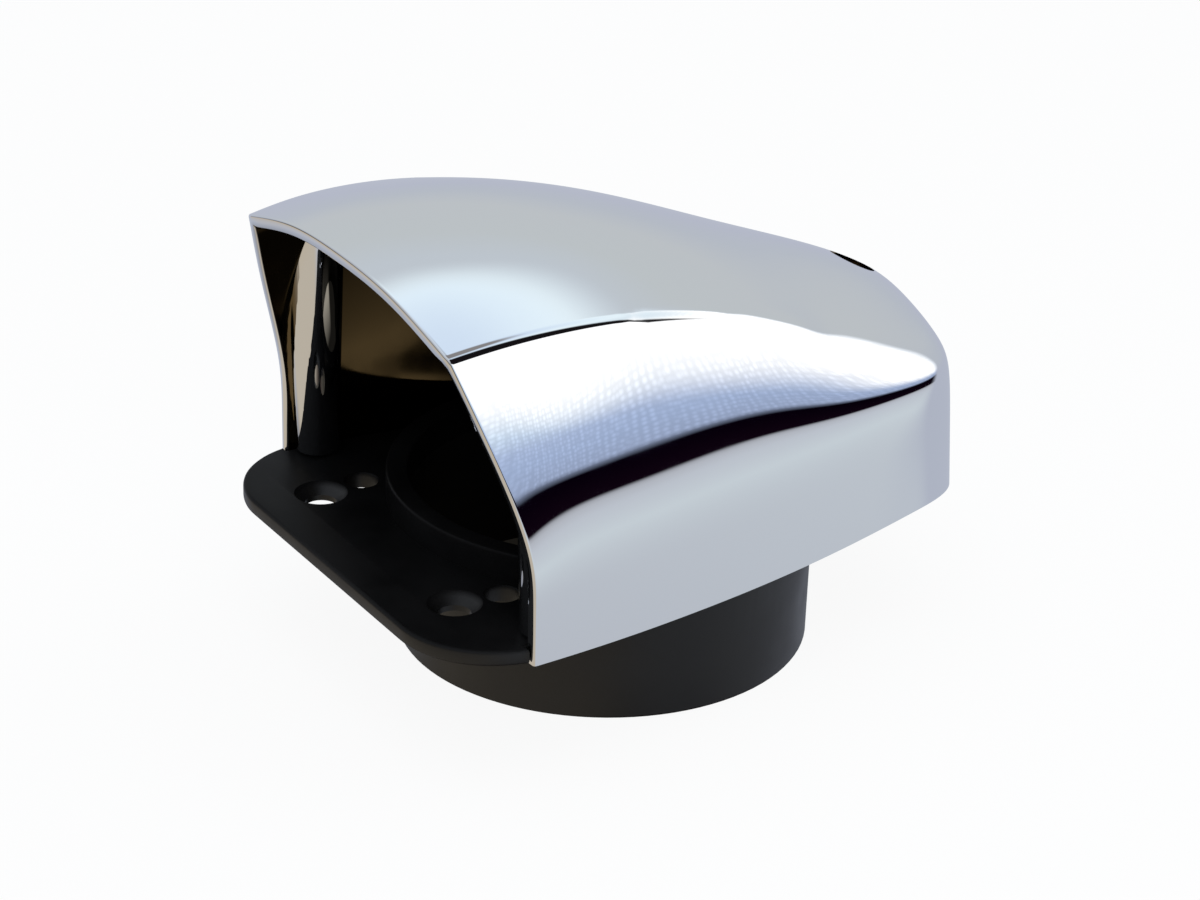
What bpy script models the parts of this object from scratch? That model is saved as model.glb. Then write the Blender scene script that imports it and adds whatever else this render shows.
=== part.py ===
"""Cowl vent for a boat deck, for 76 mm ventilation hose.

A chromed cowl with a raked mouth sits over a black base plate that carries the
hose spigot.  Two pillars inside the mouth and one post at the back hold the
cowl down on the plate with three screws.

Lengths are in metres.  The mouth faces -Y and +Z is up.  The model is built
round the spigot's axis with the deck at z = 0, under an empty that lifts it so
that the spigot's end stands on the ground and the part's box is centred.
"""

import math

import bmesh
import bpy
from mathutils import Vector

# Spigot and collar
HOSE_BORE = 0.076           # outside diameter of the spigot, the inside of the hose
SPIGOT_WALL = 0.0025
SPIGOT_LENGTH = 0.023       # from the deck face down
SPIGOT_DRAFT = 0.0004       # the spigot's end is this much smaller in radius
COLLAR_STEP = 0.0016        # how far the collar stands outside the spigot
COLLAR_HEIGHT = 0.0053      # above the plate
EDGE_BREAK = 0.0005         # small chamfer on turned edges

# Cowl, outside
SIDE_ROOM = 0.008           # the mouth stands this far outside the spigot on each side
MOUTH_HALF_WIDTH = HOSE_BORE / 2 + SIDE_ROOM
MOUTH_ROOM = 0.0039         # the foot of the mouth, ahead of the spigot
MOUTH_Y = -HOSE_BORE / 2 - MOUTH_ROOM
REAR_ROOM = 0.0259          # the foot of the rear wall, behind the spigot
REAR_Y = HOSE_BORE / 2 + REAR_ROOM
SIDE_RADIUS = 4 * HOSE_BORE
SIDE_TOE_IN = 0.03          # slope of the side walls at the mouth, which then follow that radius
REAR_HALF_WIDTH = 0.0246    # where the side and the rear wall would meet
COWL_HEIGHT = 0.0605        # crown of the mouth, above the deck
REAR_DRAFT = 0.0012         # the rear wall leans in by this much up to its bend
COWL_WALL = 0.0023
GAP = 0.0003                # between pieces that touch

# Base plate
PLATE_THICKNESS = 0.003
LIP_DEPTH = 0.0153          # how far the lip reaches out of the mouth
LIP_REACH = LIP_DEPTH - MOUTH_Y
LIP_SETBACK = 0.001         # the lip is this much narrower than the mouth on each side
LIP_HALF_WIDTH = MOUTH_HALF_WIDTH - LIP_SETBACK
LIP_CORNER_RADIUS = 0.0178

# Pillars inside the mouth
PILLAR_INSET = 0.0051       # from the side wall's outside to the pillar's middle
PILLAR_X = MOUTH_HALF_WIDTH - PILLAR_INSET
PILLAR_SETBACK = 0.0048     # behind the foot of the mouth
PILLAR_Y = MOUTH_Y + PILLAR_SETBACK
PILLAR_RADIUS = 0.0041      # at the foot
PILLAR_DRAFT = math.radians(1.5)

# Deck screw holes and drain holes in the plate
DECK_HOLE_SPACING = 0.049
DECK_HOLE_X = DECK_HOLE_SPACING / 2
DECK_HOLE_AHEAD = 0.0031    # of the foot of the mouth
DECK_HOLE_Y = MOUTH_Y - DECK_HOLE_AHEAD
DECK_HOLE_DIAMETER = 0.0058
DECK_HOLE_HEAD = 0.0097
DRAIN_SPACING = 0.051
DRAIN_X = DRAIN_SPACING / 2
DRAIN_SETBACK = 0.0057      # behind the foot of the mouth
DRAIN_Y = MOUTH_Y + DRAIN_SETBACK
DRAIN_DIAMETER = 0.0061

# Cowl screws from below, into the pillars
PILLAR_SCREW_OFFSET = 0.0015  # towards the middle from the pillar's own middle
PILLAR_SCREW_X = PILLAR_X - PILLAR_SCREW_OFFSET
PILLAR_SCREW_DIAMETER = 0.0029
PILLAR_SCREW_HEAD = 0.0056
PILLAR_SCREW_LENGTH = 0.012

# Rear screw, its recess in the cowl and its post on the plate
REAR_SCREW_INSET = 0.0112   # ahead of the foot of the rear wall
REAR_SCREW_Y = REAR_Y - REAR_SCREW_INSET
REAR_SCREW_DIAMETER = 0.0042
REAR_SCREW_HEAD = 0.0076
REAR_SCREW_HEAD_HEIGHT = 0.0025
REAR_SCREW_DOME = 0.0015    # the rounded part of that height
REAR_SCREW_LENGTH = 0.020
REAR_RECESS_DIAMETER = 0.0084
REAR_SEAT_Z = 0.0285
REAR_BOSS_DIAMETER = 0.013
REAR_BOSS_FLOOR = 0.0035    # under the screw's head
REAR_POST_DIAMETER = 0.0095

SCREW_LAND = 0.0004         # straight edge of a countersunk head, from the deck face
SCREW_SUNK = 0.0002         # the heads lie this far inside the deck face
OVERCUT = 0.001             # how far a cutter runs past the face that it opens
FOOT_SPARE = 0.001          # the skin runs this far past the deck before it is cut flat
SIDES = (("left", -1), ("right", 1))

ROUND_STEPS = 48            # faces round a large turned piece
BORE_STEPS = 24             # faces round a screw or a bore
DOME_STEPS = 4              # spans from the screw head's middle to its edge
SKIN_LEVELS = 2             # subdivision of the cowl's cage

CHROME = ("chrome", (0.80, 0.81, 0.83), 0.06, 1.0)
BLACK_PLASTIC = ("black_plastic", (0.012, 0.012, 0.013), 0.38, 0.0)
STEEL = ("stainless_steel", (0.58, 0.57, 0.55), 0.25, 1.0)


def clear_scene():
    """Remove whatever the scene holds."""
    for item in list(bpy.data.objects):
        bpy.data.objects.remove(item, do_unlink=True)


def make_collection(name):
    """A new collection linked to the scene."""
    group = bpy.data.collections.new(name)
    bpy.context.scene.collection.children.link(group)
    return group


def make_material(finish):
    """A Principled material from a finish's name, colour, roughness and metallic."""
    name, colour, roughness, metallic = finish
    material = bpy.data.materials.get(name)
    if material:
        return material
    material = bpy.data.materials.new(name)
    material.use_nodes = True
    shader = material.node_tree.nodes["Principled BSDF"]
    shader.inputs["Base Color"].default_value = (*colour, 1.0)
    shader.inputs["Roughness"].default_value = roughness
    shader.inputs["Metallic"].default_value = metallic
    material.diffuse_color = (*colour, 1.0)
    return material


def add_object(name, mesh, group, finish=None):
    """Link a mesh as a named object; without a finish it is a cutter."""
    item = bpy.data.objects.new(name, mesh)
    group.objects.link(item)
    if finish:
        mesh.materials.append(make_material(finish))
    else:
        item.hide_render = True
        item.display_type = "WIRE"
    return item


def combine(target, other, operation, name):
    """Join or cut one object with another through an exact Boolean."""
    step = target.modifiers.new(name, "BOOLEAN")
    step.operation = operation
    step.solver = "EXACT"
    step.object = other
    return step


def smoothed(item):
    """Shade an object's round faces smooth and keep its real edges sharp."""
    item.data.shade_smooth()
    item.data.set_sharp_from_angle(angle=math.radians(35))
    return item


def bake(item):
    """Apply all modifiers of an object to its mesh."""
    view = bpy.context.evaluated_depsgraph_get()
    mesh = bpy.data.meshes.new_from_object(item.evaluated_get(view))
    item.modifiers.clear()
    item.data = mesh
    return item


def turned(name, profile, centre, group, finish=None, steps=BORE_STEPS):
    """A solid of revolution about a vertical axis.

    The profile is a list of (radius, z) down its outer side; a profile that
    starts and ends on the axis closes there, and any other one is a ring.
    """
    mesh = bpy.data.meshes.new(name)
    shape = bmesh.new()
    rim = [shape.verts.new((radius, 0.0, z)) for radius, z in profile]
    for upper, lower in zip(rim, rim[1:]):
        shape.edges.new((upper, lower))
    if profile[0][0] > 0.0:
        shape.edges.new((rim[-1], rim[0]))
    shape.to_mesh(mesh)
    shape.free()
    item = add_object(name, mesh, group, finish)
    item.location = centre
    spin = item.modifiers.new("turn", "SCREW")
    spin.steps = steps
    spin.render_steps = steps
    spin.use_merge_vertices = True
    spin.merge_threshold = 0.00001
    spin.use_smooth_shade = True
    return item


def bspline_point(before, start, end, after, t):
    """A point on one span of a uniform cubic B-spline."""
    weights = (
        (1 - t) ** 3,
        3 * t ** 3 - 6 * t ** 2 + 4,
        -3 * t ** 3 + 3 * t ** 2 + 3 * t + 1,
        t ** 3,
    )
    corners = (before, start, end, after)
    return sum((corner * (weight / 6) for corner, weight in zip(corners, weights)), Vector())


def side_half_width(y):
    """Half the cowl's width at its foot, where the side wall is one long arc."""
    angle = math.atan(SIDE_TOE_IN)
    centre_y = MOUTH_Y - SIDE_RADIUS * math.sin(angle)
    centre_x = MOUTH_HALF_WIDTH - SIDE_RADIUS * math.cos(angle)
    return centre_x + math.sqrt(SIDE_RADIUS ** 2 - (y - centre_y) ** 2)


# The cowl's cage.  Each side station is a rib from the foot up to the crown:
# how far along the cowl its foot, crease and crown lie (0 at the mouth's foot,
# 1 at the rear), then its heights, and how far the cheek and the crease stand
# in from the side wall.  Heights and insets are shares of the cowl's height.
SIDE_STATIONS = (
    # foot    crease  crown   bend    cheek   crease  roof    crown   cheek   crease
    (0.000, -0.106, -0.118, 0.335, 0.641, 0.902, 0.992, 1.008, 0.0662, 0.1702),
    (0.084, 0.010, -0.004, 0.388, 0.655, 0.934, 1.034, 1.052, 0.0455, 0.1471),
    (0.226, 0.212, 0.207, 0.408, 0.647, 0.926, 1.034, 1.060, 0.0469, 0.1322),
    (0.443, 0.443, 0.443, 0.419, 0.616, 0.833, 0.932, 0.964, 0.0382, 0.1190),
    (0.651, 0.651, 0.651, 0.413, 0.526, 0.677, 0.774, 0.812, 0.0365, 0.0942),
    (0.859, 0.850, 0.845, 0.395, 0.443, 0.531, 0.645, 0.690, 0.0234, 0.0628),
)
# Each rear station: across (1 at the corner), how far ahead of the rear wall
# the cheek and the crease stand, and the heights of bend, cheek and crease.
REAR_STATIONS = (
    (1.000, 0.0248, 0.0612, 0.400, 0.440, 0.478),
    (0.420, 0.0198, 0.0562, 0.435, 0.492, 0.557),
    (0.000, 0.0182, 0.0529, 0.447, 0.510, 0.582),
)
REAR_BOW = 0.0007           # the rear wall's middle stands behind its corners
WALL_ROW = 0.5              # the wall's middle row, as a share of the bend's height
ROOF_COLUMN = 0.5           # the roof's middle row, as a share of the crease's width
CREASE_SHARPNESS = (1.0, 1.0, 0.75, 0.45, 0.2)


def station_y(share):
    """A place along the cowl, from 0 at the mouth's foot to 1 at the rear."""
    return MOUTH_Y + share * (REAR_Y - MOUTH_Y)


def side_rib(station):
    """The cage points of a side station: five up the wall, then two on the roof."""
    foot, crease, crown, bend_z, cheek_z, crease_z, roof_z, crown_z, cheek_in, crease_in = station
    foot_y = station_y(foot)
    crease_y = station_y(crease)
    crown_y = station_y(crown)
    width = side_half_width(foot_y)
    climb = (cheek_z - bend_z) / (crease_z - bend_z)
    cheek_y = foot_y + climb * (crease_y - foot_y)
    roof_y = 0.35 * crease_y + 0.65 * crown_y
    height = COWL_HEIGHT
    crease_x = width - crease_in * height
    return [
        Vector((width, foot_y, -FOOT_SPARE)),
        Vector((width, foot_y, WALL_ROW * bend_z * height)),
        Vector((width, foot_y, bend_z * height)),
        Vector((width - cheek_in * height, cheek_y, cheek_z * height)),
        Vector((crease_x, crease_y, crease_z * height)),
        Vector((crease_x * ROOF_COLUMN, roof_y, roof_z * height)),
        Vector((0.0, crown_y, crown_z * height)),
    ]


def rear_rib(station):
    """The cage points of a rear station, from the foot up to the roof's edge."""
    across, cheek_in, crease_in, bend_z, cheek_z, crease_z = station
    rows = (
        (0.0, -FOOT_SPARE),
        (WALL_ROW * REAR_DRAFT, WALL_ROW * bend_z * COWL_HEIGHT),
        (REAR_DRAFT, bend_z * COWL_HEIGHT),
        (REAR_DRAFT + cheek_in * COWL_HEIGHT, cheek_z * COWL_HEIGHT),
        (REAR_DRAFT + crease_in * COWL_HEIGHT, crease_z * COWL_HEIGHT),
    )
    foot_y = REAR_Y - REAR_BOW * across ** 2
    return [Vector((across * (REAR_HALF_WIDTH - inset), foot_y - inset, z)) for inset, z in rows]


def cowl_cage(name):
    """Half of the cowl's cage, open at the middle plane, at the mouth and at the foot."""
    sides = [side_rib(station) for station in SIDE_STATIONS]
    rears = [rear_rib(station) for station in REAR_STATIONS]
    ring_rows = 5
    shape = bmesh.new()
    side_verts = [[shape.verts.new(point) for point in rib] for rib in sides]
    rear_verts = [[shape.verts.new(point) for point in rib] for rib in rears]
    ring = [rib[:ring_rows] for rib in side_verts] + rear_verts
    for rib, following in zip(ring, ring[1:]):
        for row in range(ring_rows - 1):
            shape.faces.new((rib[row], following[row], following[row + 1], rib[row + 1]))
    roof = [rib[ring_rows - 1:] for rib in side_verts]
    roof.append([rib[ring_rows - 1] for rib in rear_verts])
    for rib, following in zip(roof, roof[1:]):
        for row in range(2):
            shape.faces.new((rib[row], following[row], following[row + 1], rib[row + 1]))
    crease = shape.edges.layers.float.new("crease_edge")
    for index, sharpness in enumerate(CREASE_SHARPNESS):
        edge = shape.edges.get((side_verts[index][4], side_verts[index + 1][4]))
        edge[crease] = sharpness
    mesh = bpy.data.meshes.new(name)
    shape.to_mesh(mesh)
    shape.free()
    return mesh


def footprint(inset):
    """The cowl's foot line from the mouth to the rear middle, moved inwards by inset.

    The cage's lowest row is the control line of a cubic B-spline, which the
    subdivided foot follows exactly.
    """
    control = [side_rib(station)[0] for station in SIDE_STATIONS]
    control += [rear_rib(station)[0] for station in REAR_STATIONS]
    control.insert(0, control[0] * 2 - control[1])
    control.append(Vector((-control[-2].x, control[-2].y, 0.0)))
    spans = 2 ** SKIN_LEVELS
    line = []
    for index in range(len(control) - 3):
        line += [bspline_point(*control[index:index + 4], step / spans) for step in range(spans)]
    line.append(bspline_point(*control[-4:], 1.0))
    moved = []
    for index, point in enumerate(line):
        if index == len(line) - 1:
            along = Vector((-1.0, 0.0, 0.0))
        else:
            along = line[index + 1] - line[max(index - 1, 0)]
        inward = Vector((-along.y, along.x, 0.0)).normalized()
        moved.append(point + inward * inset)
    return moved


def countersunk_hole(name, x, y, diameter, head, group):
    """Cutter for a through hole in the plate with a countersink on its top face."""
    sink = (head - diameter) / 2
    top = PLATE_THICKNESS
    profile = [
        (0.0, top + OVERCUT),
        (head / 2 + OVERCUT, top + OVERCUT),
        (diameter / 2, top - sink),
        (diameter / 2, -OVERCUT),
        (0.0, -OVERCUT),
    ]
    return turned(name, profile, (x, y, 0.0), group)


def straight_hole(name, x, y, diameter, bottom, top, group, steps=BORE_STEPS):
    """Cutter for a plain round hole between two heights."""
    profile = [(0.0, top), (diameter / 2, top), (diameter / 2, bottom), (0.0, bottom)]
    return turned(name, profile, (x, y, 0.0), group, steps=steps)


def plate_outline():
    """The plate's outline: the lip in front of the mouth, then inside the cowl's wall."""
    arc_steps = ROUND_STEPS // 4
    centre_x = LIP_HALF_WIDTH - LIP_CORNER_RADIUS
    centre_y = LIP_CORNER_RADIUS - LIP_REACH
    right = []
    for step in range(arc_steps + 1):
        angle = math.radians(-90) + step / arc_steps * math.radians(90)
        x = centre_x + LIP_CORNER_RADIUS * math.cos(angle)
        y = centre_y + LIP_CORNER_RADIUS * math.sin(angle)
        if y < MOUTH_Y - GAP:
            right.append(Vector((x, y, 0.0)))
    right.append(Vector((LIP_HALF_WIDTH, MOUTH_Y - GAP, 0.0)))
    inner = footprint(COWL_WALL + GAP)
    right.append(Vector((inner[0].x, MOUTH_Y - GAP, 0.0)))
    right += inner[1:]
    left = [Vector((-point.x, point.y, 0.0)) for point in reversed(right) if point.x > 1e-6]
    return right + left


def slab(name, height, group, finish=None):
    """A flat slab of the plate's outline that stands on the deck face."""
    curve = bpy.data.curves.new(f"{name}_outline", "CURVE")
    curve.dimensions = "2D"
    curve.fill_mode = "BOTH"
    curve.extrude = height / 2
    points = plate_outline()
    line = curve.splines.new("POLY")
    line.points.add(len(points) - 1)
    for knot, point in zip(line.points, points):
        knot.co = (point.x, point.y, 0.0, 1.0)
    line.use_cyclic_u = True
    drawn = bpy.data.objects.new(f"{name}_outline", curve)
    group.objects.link(drawn)
    view = bpy.context.evaluated_depsgraph_get()
    mesh = bpy.data.meshes.new_from_object(drawn.evaluated_get(view))
    bpy.data.objects.remove(drawn, do_unlink=True)
    shape = bmesh.new()
    shape.from_mesh(mesh)
    bmesh.ops.remove_doubles(shape, verts=shape.verts, dist=0.00001)
    shape.to_mesh(mesh)
    shape.free()
    item = add_object(name, mesh, group, finish)
    item.location.z = height / 2
    return item


def spigot(group):
    """The ring below the plate that the hose slides over."""
    outer = HOSE_BORE / 2
    inner = outer - SPIGOT_WALL
    end = outer - SPIGOT_DRAFT
    profile = [
        (inner, PLATE_THICKNESS / 2),
        (outer, PLATE_THICKNESS / 2),
        (end, EDGE_BREAK - SPIGOT_LENGTH),
        (end - EDGE_BREAK, -SPIGOT_LENGTH),
        (inner, -SPIGOT_LENGTH),
    ]
    return turned("spigot", profile, (0.0, 0.0, 0.0), group, steps=ROUND_STEPS)


def collar(group):
    """The raised ring on the plate, cut flat where the cowl's side walls pass it."""
    outer = HOSE_BORE / 2 + COLLAR_STEP
    inner = HOSE_BORE / 2 - SPIGOT_WALL
    top = PLATE_THICKNESS + COLLAR_HEIGHT
    profile = [
        (inner, top),
        (outer - EDGE_BREAK, top),
        (outer, top - EDGE_BREAK),
        (outer, PLATE_THICKNESS / 2),
        (inner, PLATE_THICKNESS / 2),
    ]
    ring = turned("collar", profile, (0.0, 0.0, 0.0), group, steps=ROUND_STEPS)
    combine(ring, slab("room_inside_walls", 2 * top, group), "INTERSECT", "clear of the walls")
    return ring


def rear_post(group):
    """Post on the plate that the rear screw bites into."""
    top = REAR_SEAT_Z - REAR_BOSS_FLOOR - GAP
    radius = REAR_POST_DIAMETER / 2
    profile = [(0.0, top), (radius, top), (radius, PLATE_THICKNESS / 2), (0.0, PLATE_THICKNESS / 2)]
    return turned("rear_post", profile, (0.0, REAR_SCREW_Y, 0.0), group)


def pillar_screw_seat(label, side, group):
    """Cutter for a pillar screw's countersunk seat in the plate."""
    head = PILLAR_SCREW_HEAD / 2 + GAP
    shank = PILLAR_SCREW_DIAMETER / 2 + GAP
    profile = [
        (0.0, PLATE_THICKNESS + OVERCUT),
        (shank, PLATE_THICKNESS + OVERCUT),
        (shank, SCREW_LAND + head - shank),
        (head, SCREW_LAND),
        (head, -OVERCUT),
        (0.0, -OVERCUT),
    ]
    place = (side * PILLAR_SCREW_X, PILLAR_Y, 0.0)
    return turned(f"pillar_screw_seat_{label}", profile, place, group)


def build_base_plate(parts, cutters):
    """Base plate with its lip, collar, spigot, post and holes."""
    plate = slab("base_plate", PLATE_THICKNESS, parts, BLACK_PLASTIC)
    opening = straight_hole(
        "duct_opening", 0.0, 0.0, HOSE_BORE - SPIGOT_WALL, -OVERCUT, PLATE_THICKNESS + OVERCUT,
        cutters, ROUND_STEPS)
    combine(plate, opening, "DIFFERENCE", "duct opening")
    combine(plate, spigot(cutters), "UNION", "spigot")
    combine(plate, collar(cutters), "UNION", "collar")
    combine(plate, rear_post(cutters), "UNION", "rear post")
    for label, side in SIDES:
        deck_hole = countersunk_hole(
            f"deck_hole_{label}", side * DECK_HOLE_X, DECK_HOLE_Y,
            DECK_HOLE_DIAMETER, DECK_HOLE_HEAD, cutters)
        combine(plate, deck_hole, "DIFFERENCE", f"deck hole {label}")
        drain = straight_hole(
            f"drain_hole_{label}", side * DRAIN_X, DRAIN_Y, DRAIN_DIAMETER,
            -OVERCUT, PLATE_THICKNESS + OVERCUT, cutters)
        combine(plate, drain, "DIFFERENCE", f"drain hole {label}")
        seat = pillar_screw_seat(label, side, cutters)
        combine(plate, seat, "DIFFERENCE", f"pillar screw seat {label}")
    pilot = straight_hole(
        "rear_pilot", 0.0, REAR_SCREW_Y, REAR_SCREW_DIAMETER + 2 * GAP,
        REAR_SEAT_Z - REAR_SCREW_LENGTH, REAR_SEAT_Z, cutters)
    combine(plate, pilot, "DIFFERENCE", "rear pilot hole")
    return smoothed(plate)


def add_skin(item):
    """Mirror a half cage and subdivide it into the cowl's skin."""
    mirror = item.modifiers.new("other half", "MIRROR")
    mirror.use_axis = (True, False, False)
    mirror.merge_threshold = 0.00001
    skin = item.modifiers.new("skin", "SUBSURF")
    skin.levels = SKIN_LEVELS
    skin.render_levels = SKIN_LEVELS
    skin.boundary_smooth = "PRESERVE_CORNERS"


def open_rim(shape):
    """The skin's open border on the right half, from the crown of the mouth to the rear middle."""
    middle = [vert for vert in shape.verts if vert.is_boundary and abs(vert.co.x) < 1e-6]
    current = max(middle, key=lambda vert: vert.co.z)
    walk = [current]
    while len(walk) < 2 or current not in middle:
        onward = [edge.other_vert(current) for edge in current.link_edges if edge.is_boundary]
        onward = [vert for vert in onward if vert not in walk and vert.co.x > -1e-6]
        current = onward[0]
        walk.append(current)
    return walk


def cowl_core(group):
    """The cowl filled solid up to the middle of its wall, which trims what stands inside it."""
    core = add_object("cowl_core", cowl_cage("cowl_core"), group)
    add_skin(core)
    bake(core)
    shape = bmesh.new()
    shape.from_mesh(core.data)
    shape.normal_update()
    moved = [vert.co - vert.normal * (COWL_WALL / 2) for vert in shape.verts]
    rim = open_rim(shape)
    twins = []
    for end in rim:
        mirrored = Vector((-end.co.x, end.co.y, end.co.z))
        twins.append(min(shape.verts, key=lambda vert: (vert.co - mirrored).length))
    for index in range(len(rim) - 1):
        corners = [rim[index], rim[index + 1], twins[index + 1], twins[index]]
        shape.faces.new(list(dict.fromkeys(corners)))
    for vert, place in zip(shape.verts, moved):
        vert.co = place
    bmesh.ops.recalc_face_normals(shape, faces=shape.faces)
    shape.to_mesh(core.data)
    shape.free()
    return core


def pillar(label, side, core, group):
    """A pillar inside the mouth, merged into the side wall and wider towards the roof."""
    foot = PLATE_THICKNESS + GAP
    top = COWL_HEIGHT
    spread = (top - foot) * math.tan(PILLAR_DRAFT)
    profile = [
        (0.0, top),
        (PILLAR_RADIUS + spread, top),
        (PILLAR_RADIUS, foot),
        (0.0, foot),
    ]
    post = turned(f"pillar_{label}", profile, (side * PILLAR_X, PILLAR_Y, 0.0), group)
    combine(post, core, "INTERSECT", "up to the wall")
    return post


def rear_boss(core, group):
    """The boss that hangs from the roof round the rear screw and rests on the plate's post."""
    bottom = REAR_SEAT_Z - REAR_BOSS_FLOOR
    radius = REAR_BOSS_DIAMETER / 2
    profile = [(0.0, COWL_HEIGHT), (radius, COWL_HEIGHT), (radius, bottom), (0.0, bottom)]
    boss = turned("rear_boss", profile, (0.0, REAR_SCREW_Y, 0.0), group)
    combine(boss, core, "INTERSECT", "up to the wall")
    return boss


def deck_block(group):
    """Cutter for whatever reaches below the deck face."""
    mesh = bpy.data.meshes.new("deck_block")
    shape = bmesh.new()
    size = 4 * MOUTH_HALF_WIDTH
    bmesh.ops.create_cube(shape, size=1.0)
    bmesh.ops.scale(shape, vec=(size, size, FOOT_SPARE * 4), verts=shape.verts)
    bmesh.ops.translate(shape, vec=(0.0, 0.0, -FOOT_SPARE * 2), verts=shape.verts)
    shape.to_mesh(mesh)
    shape.free()
    return add_object("deck_block", mesh, group)


def build_cowl(parts, cutters):
    """The cowl: a skin from its cage, with pillars, rear boss and screw bores."""
    cowl = add_object("cowl_shell", cowl_cage("cowl_shell"), parts, CHROME)
    add_skin(cowl)
    wall = cowl.modifiers.new("wall", "SOLIDIFY")
    wall.thickness = COWL_WALL
    wall.offset = -1.0
    wall.use_even_offset = True
    core = cowl_core(cutters)
    for label, side in SIDES:
        combine(cowl, pillar(label, side, core, cutters), "UNION", f"pillar {label}")
    combine(cowl, rear_boss(core, cutters), "UNION", "rear boss")
    combine(cowl, deck_block(cutters), "DIFFERENCE", "flat foot")
    for label, side in SIDES:
        bore = straight_hole(
            f"pillar_bore_{label}", side * PILLAR_SCREW_X, PILLAR_Y,
            PILLAR_SCREW_DIAMETER + 2 * GAP, 0.0, PILLAR_SCREW_LENGTH + 2 * GAP, cutters)
        combine(cowl, bore, "DIFFERENCE", f"pillar bore {label}")
    recess = straight_hole(
        "rear_recess", 0.0, REAR_SCREW_Y, REAR_RECESS_DIAMETER, REAR_SEAT_Z, COWL_HEIGHT, cutters)
    combine(cowl, recess, "DIFFERENCE", "rear recess")
    bore = straight_hole(
        "rear_bore", 0.0, REAR_SCREW_Y, REAR_SCREW_DIAMETER + 2 * GAP,
        REAR_SEAT_Z - REAR_BOSS_FLOOR - OVERCUT, REAR_SEAT_Z + OVERCUT, cutters)
    combine(cowl, bore, "DIFFERENCE", "rear bore")
    return smoothed(cowl)


def build_pillar_screw(label, side, parts):
    """Countersunk screw up through the plate into a pillar."""
    head = PILLAR_SCREW_HEAD / 2
    shank = PILLAR_SCREW_DIAMETER / 2
    tip = PILLAR_SCREW_LENGTH
    profile = [
        (0.0, tip),
        (shank / 2, tip),
        (shank, tip - shank),
        (shank, SCREW_LAND + head - shank),
        (head, SCREW_LAND),
        (head, SCREW_SUNK),
        (0.0, SCREW_SUNK),
    ]
    place = (side * PILLAR_SCREW_X, PILLAR_Y, 0.0)
    return smoothed(turned(f"pillar_screw_{label}", profile, place, parts, STEEL))


def build_rear_screw(parts):
    """Pan-head screw down through the cowl's boss into the plate's post."""
    under_head = REAR_SEAT_Z + GAP
    top = under_head + REAR_SCREW_HEAD_HEIGHT
    head = REAR_SCREW_HEAD / 2
    shank = REAR_SCREW_DIAMETER / 2
    tip = under_head - REAR_SCREW_LENGTH
    profile = [(0.0, top)]
    for step in range(1, DOME_STEPS):
        angle = math.radians(90) * step / DOME_STEPS
        drop = REAR_SCREW_DOME * (1 - math.cos(angle))
        profile.append((head * math.sin(angle), top - drop))
    profile += [
        (head, top - REAR_SCREW_DOME),
        (head, under_head),
        (shank, under_head),
        (shank, tip + shank),
        (shank / 2, tip),
        (0.0, tip),
    ]
    return smoothed(turned("rear_cowl_screw", profile, (0.0, REAR_SCREW_Y, 0.0), parts, STEEL))


def seat_on_frame(collections):
    """Parent everything to an empty that centres the part and stands it on its spigot."""
    frame = bpy.data.objects.new("vent_frame", None)
    bpy.context.scene.collection.objects.link(frame)
    rear = footprint(0.0)[-1].y
    frame.location = (0.0, (LIP_REACH - rear) / 2, SPIGOT_LENGTH)
    for group in collections:
        for item in group.objects:
            item.parent = frame
    return frame


def main():
    """Build the whole vent."""
    clear_scene()
    parts = make_collection("cowl_vent")
    cutters = make_collection("cutters")
    build_base_plate(parts, cutters)
    build_cowl(parts, cutters)
    for label, side in SIDES:
        build_pillar_screw(label, side, parts)
    build_rear_screw(parts)
    seat_on_frame((parts, cutters))


main()
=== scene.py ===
"""Looks of a cowl vent: a chromed cowl on a black base plate with a hose spigot.

Every piece is modelled round the spigot's axis with the deck at z = 0, in
metres, and is then set on the place that the frame gives for it.  The mouth
faces -Y and +Z is up.
"""

import logging
import math
from dataclasses import dataclass, field
from enum import Enum
from typing import Iterable, Sequence

import bmesh
import bpy
from mathutils import Matrix, Vector


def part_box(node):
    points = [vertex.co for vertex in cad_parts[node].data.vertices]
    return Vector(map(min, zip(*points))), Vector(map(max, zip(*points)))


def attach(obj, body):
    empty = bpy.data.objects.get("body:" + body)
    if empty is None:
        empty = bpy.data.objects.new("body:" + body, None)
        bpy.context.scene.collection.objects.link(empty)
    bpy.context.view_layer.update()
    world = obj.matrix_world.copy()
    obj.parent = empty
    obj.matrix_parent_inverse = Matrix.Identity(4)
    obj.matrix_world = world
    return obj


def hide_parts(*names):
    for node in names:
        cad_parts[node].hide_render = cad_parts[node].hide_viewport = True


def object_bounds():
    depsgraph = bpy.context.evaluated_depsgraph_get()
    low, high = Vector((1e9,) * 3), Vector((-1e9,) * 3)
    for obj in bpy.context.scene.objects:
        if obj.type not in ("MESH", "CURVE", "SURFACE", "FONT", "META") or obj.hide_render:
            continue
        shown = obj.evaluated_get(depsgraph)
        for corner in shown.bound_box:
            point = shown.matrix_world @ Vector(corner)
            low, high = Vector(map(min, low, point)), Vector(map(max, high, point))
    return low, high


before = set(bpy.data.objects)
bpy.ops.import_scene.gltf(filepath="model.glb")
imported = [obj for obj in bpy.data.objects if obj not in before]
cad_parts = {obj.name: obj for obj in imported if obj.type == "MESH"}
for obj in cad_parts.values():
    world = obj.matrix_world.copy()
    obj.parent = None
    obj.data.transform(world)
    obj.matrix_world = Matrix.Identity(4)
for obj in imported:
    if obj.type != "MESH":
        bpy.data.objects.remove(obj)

LOG = logging.getLogger("cowl_vent")
CAD_BOX = [list(corner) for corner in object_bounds()]
BODY = "root"
PIECES = "cowl_vent_pieces"
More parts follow.
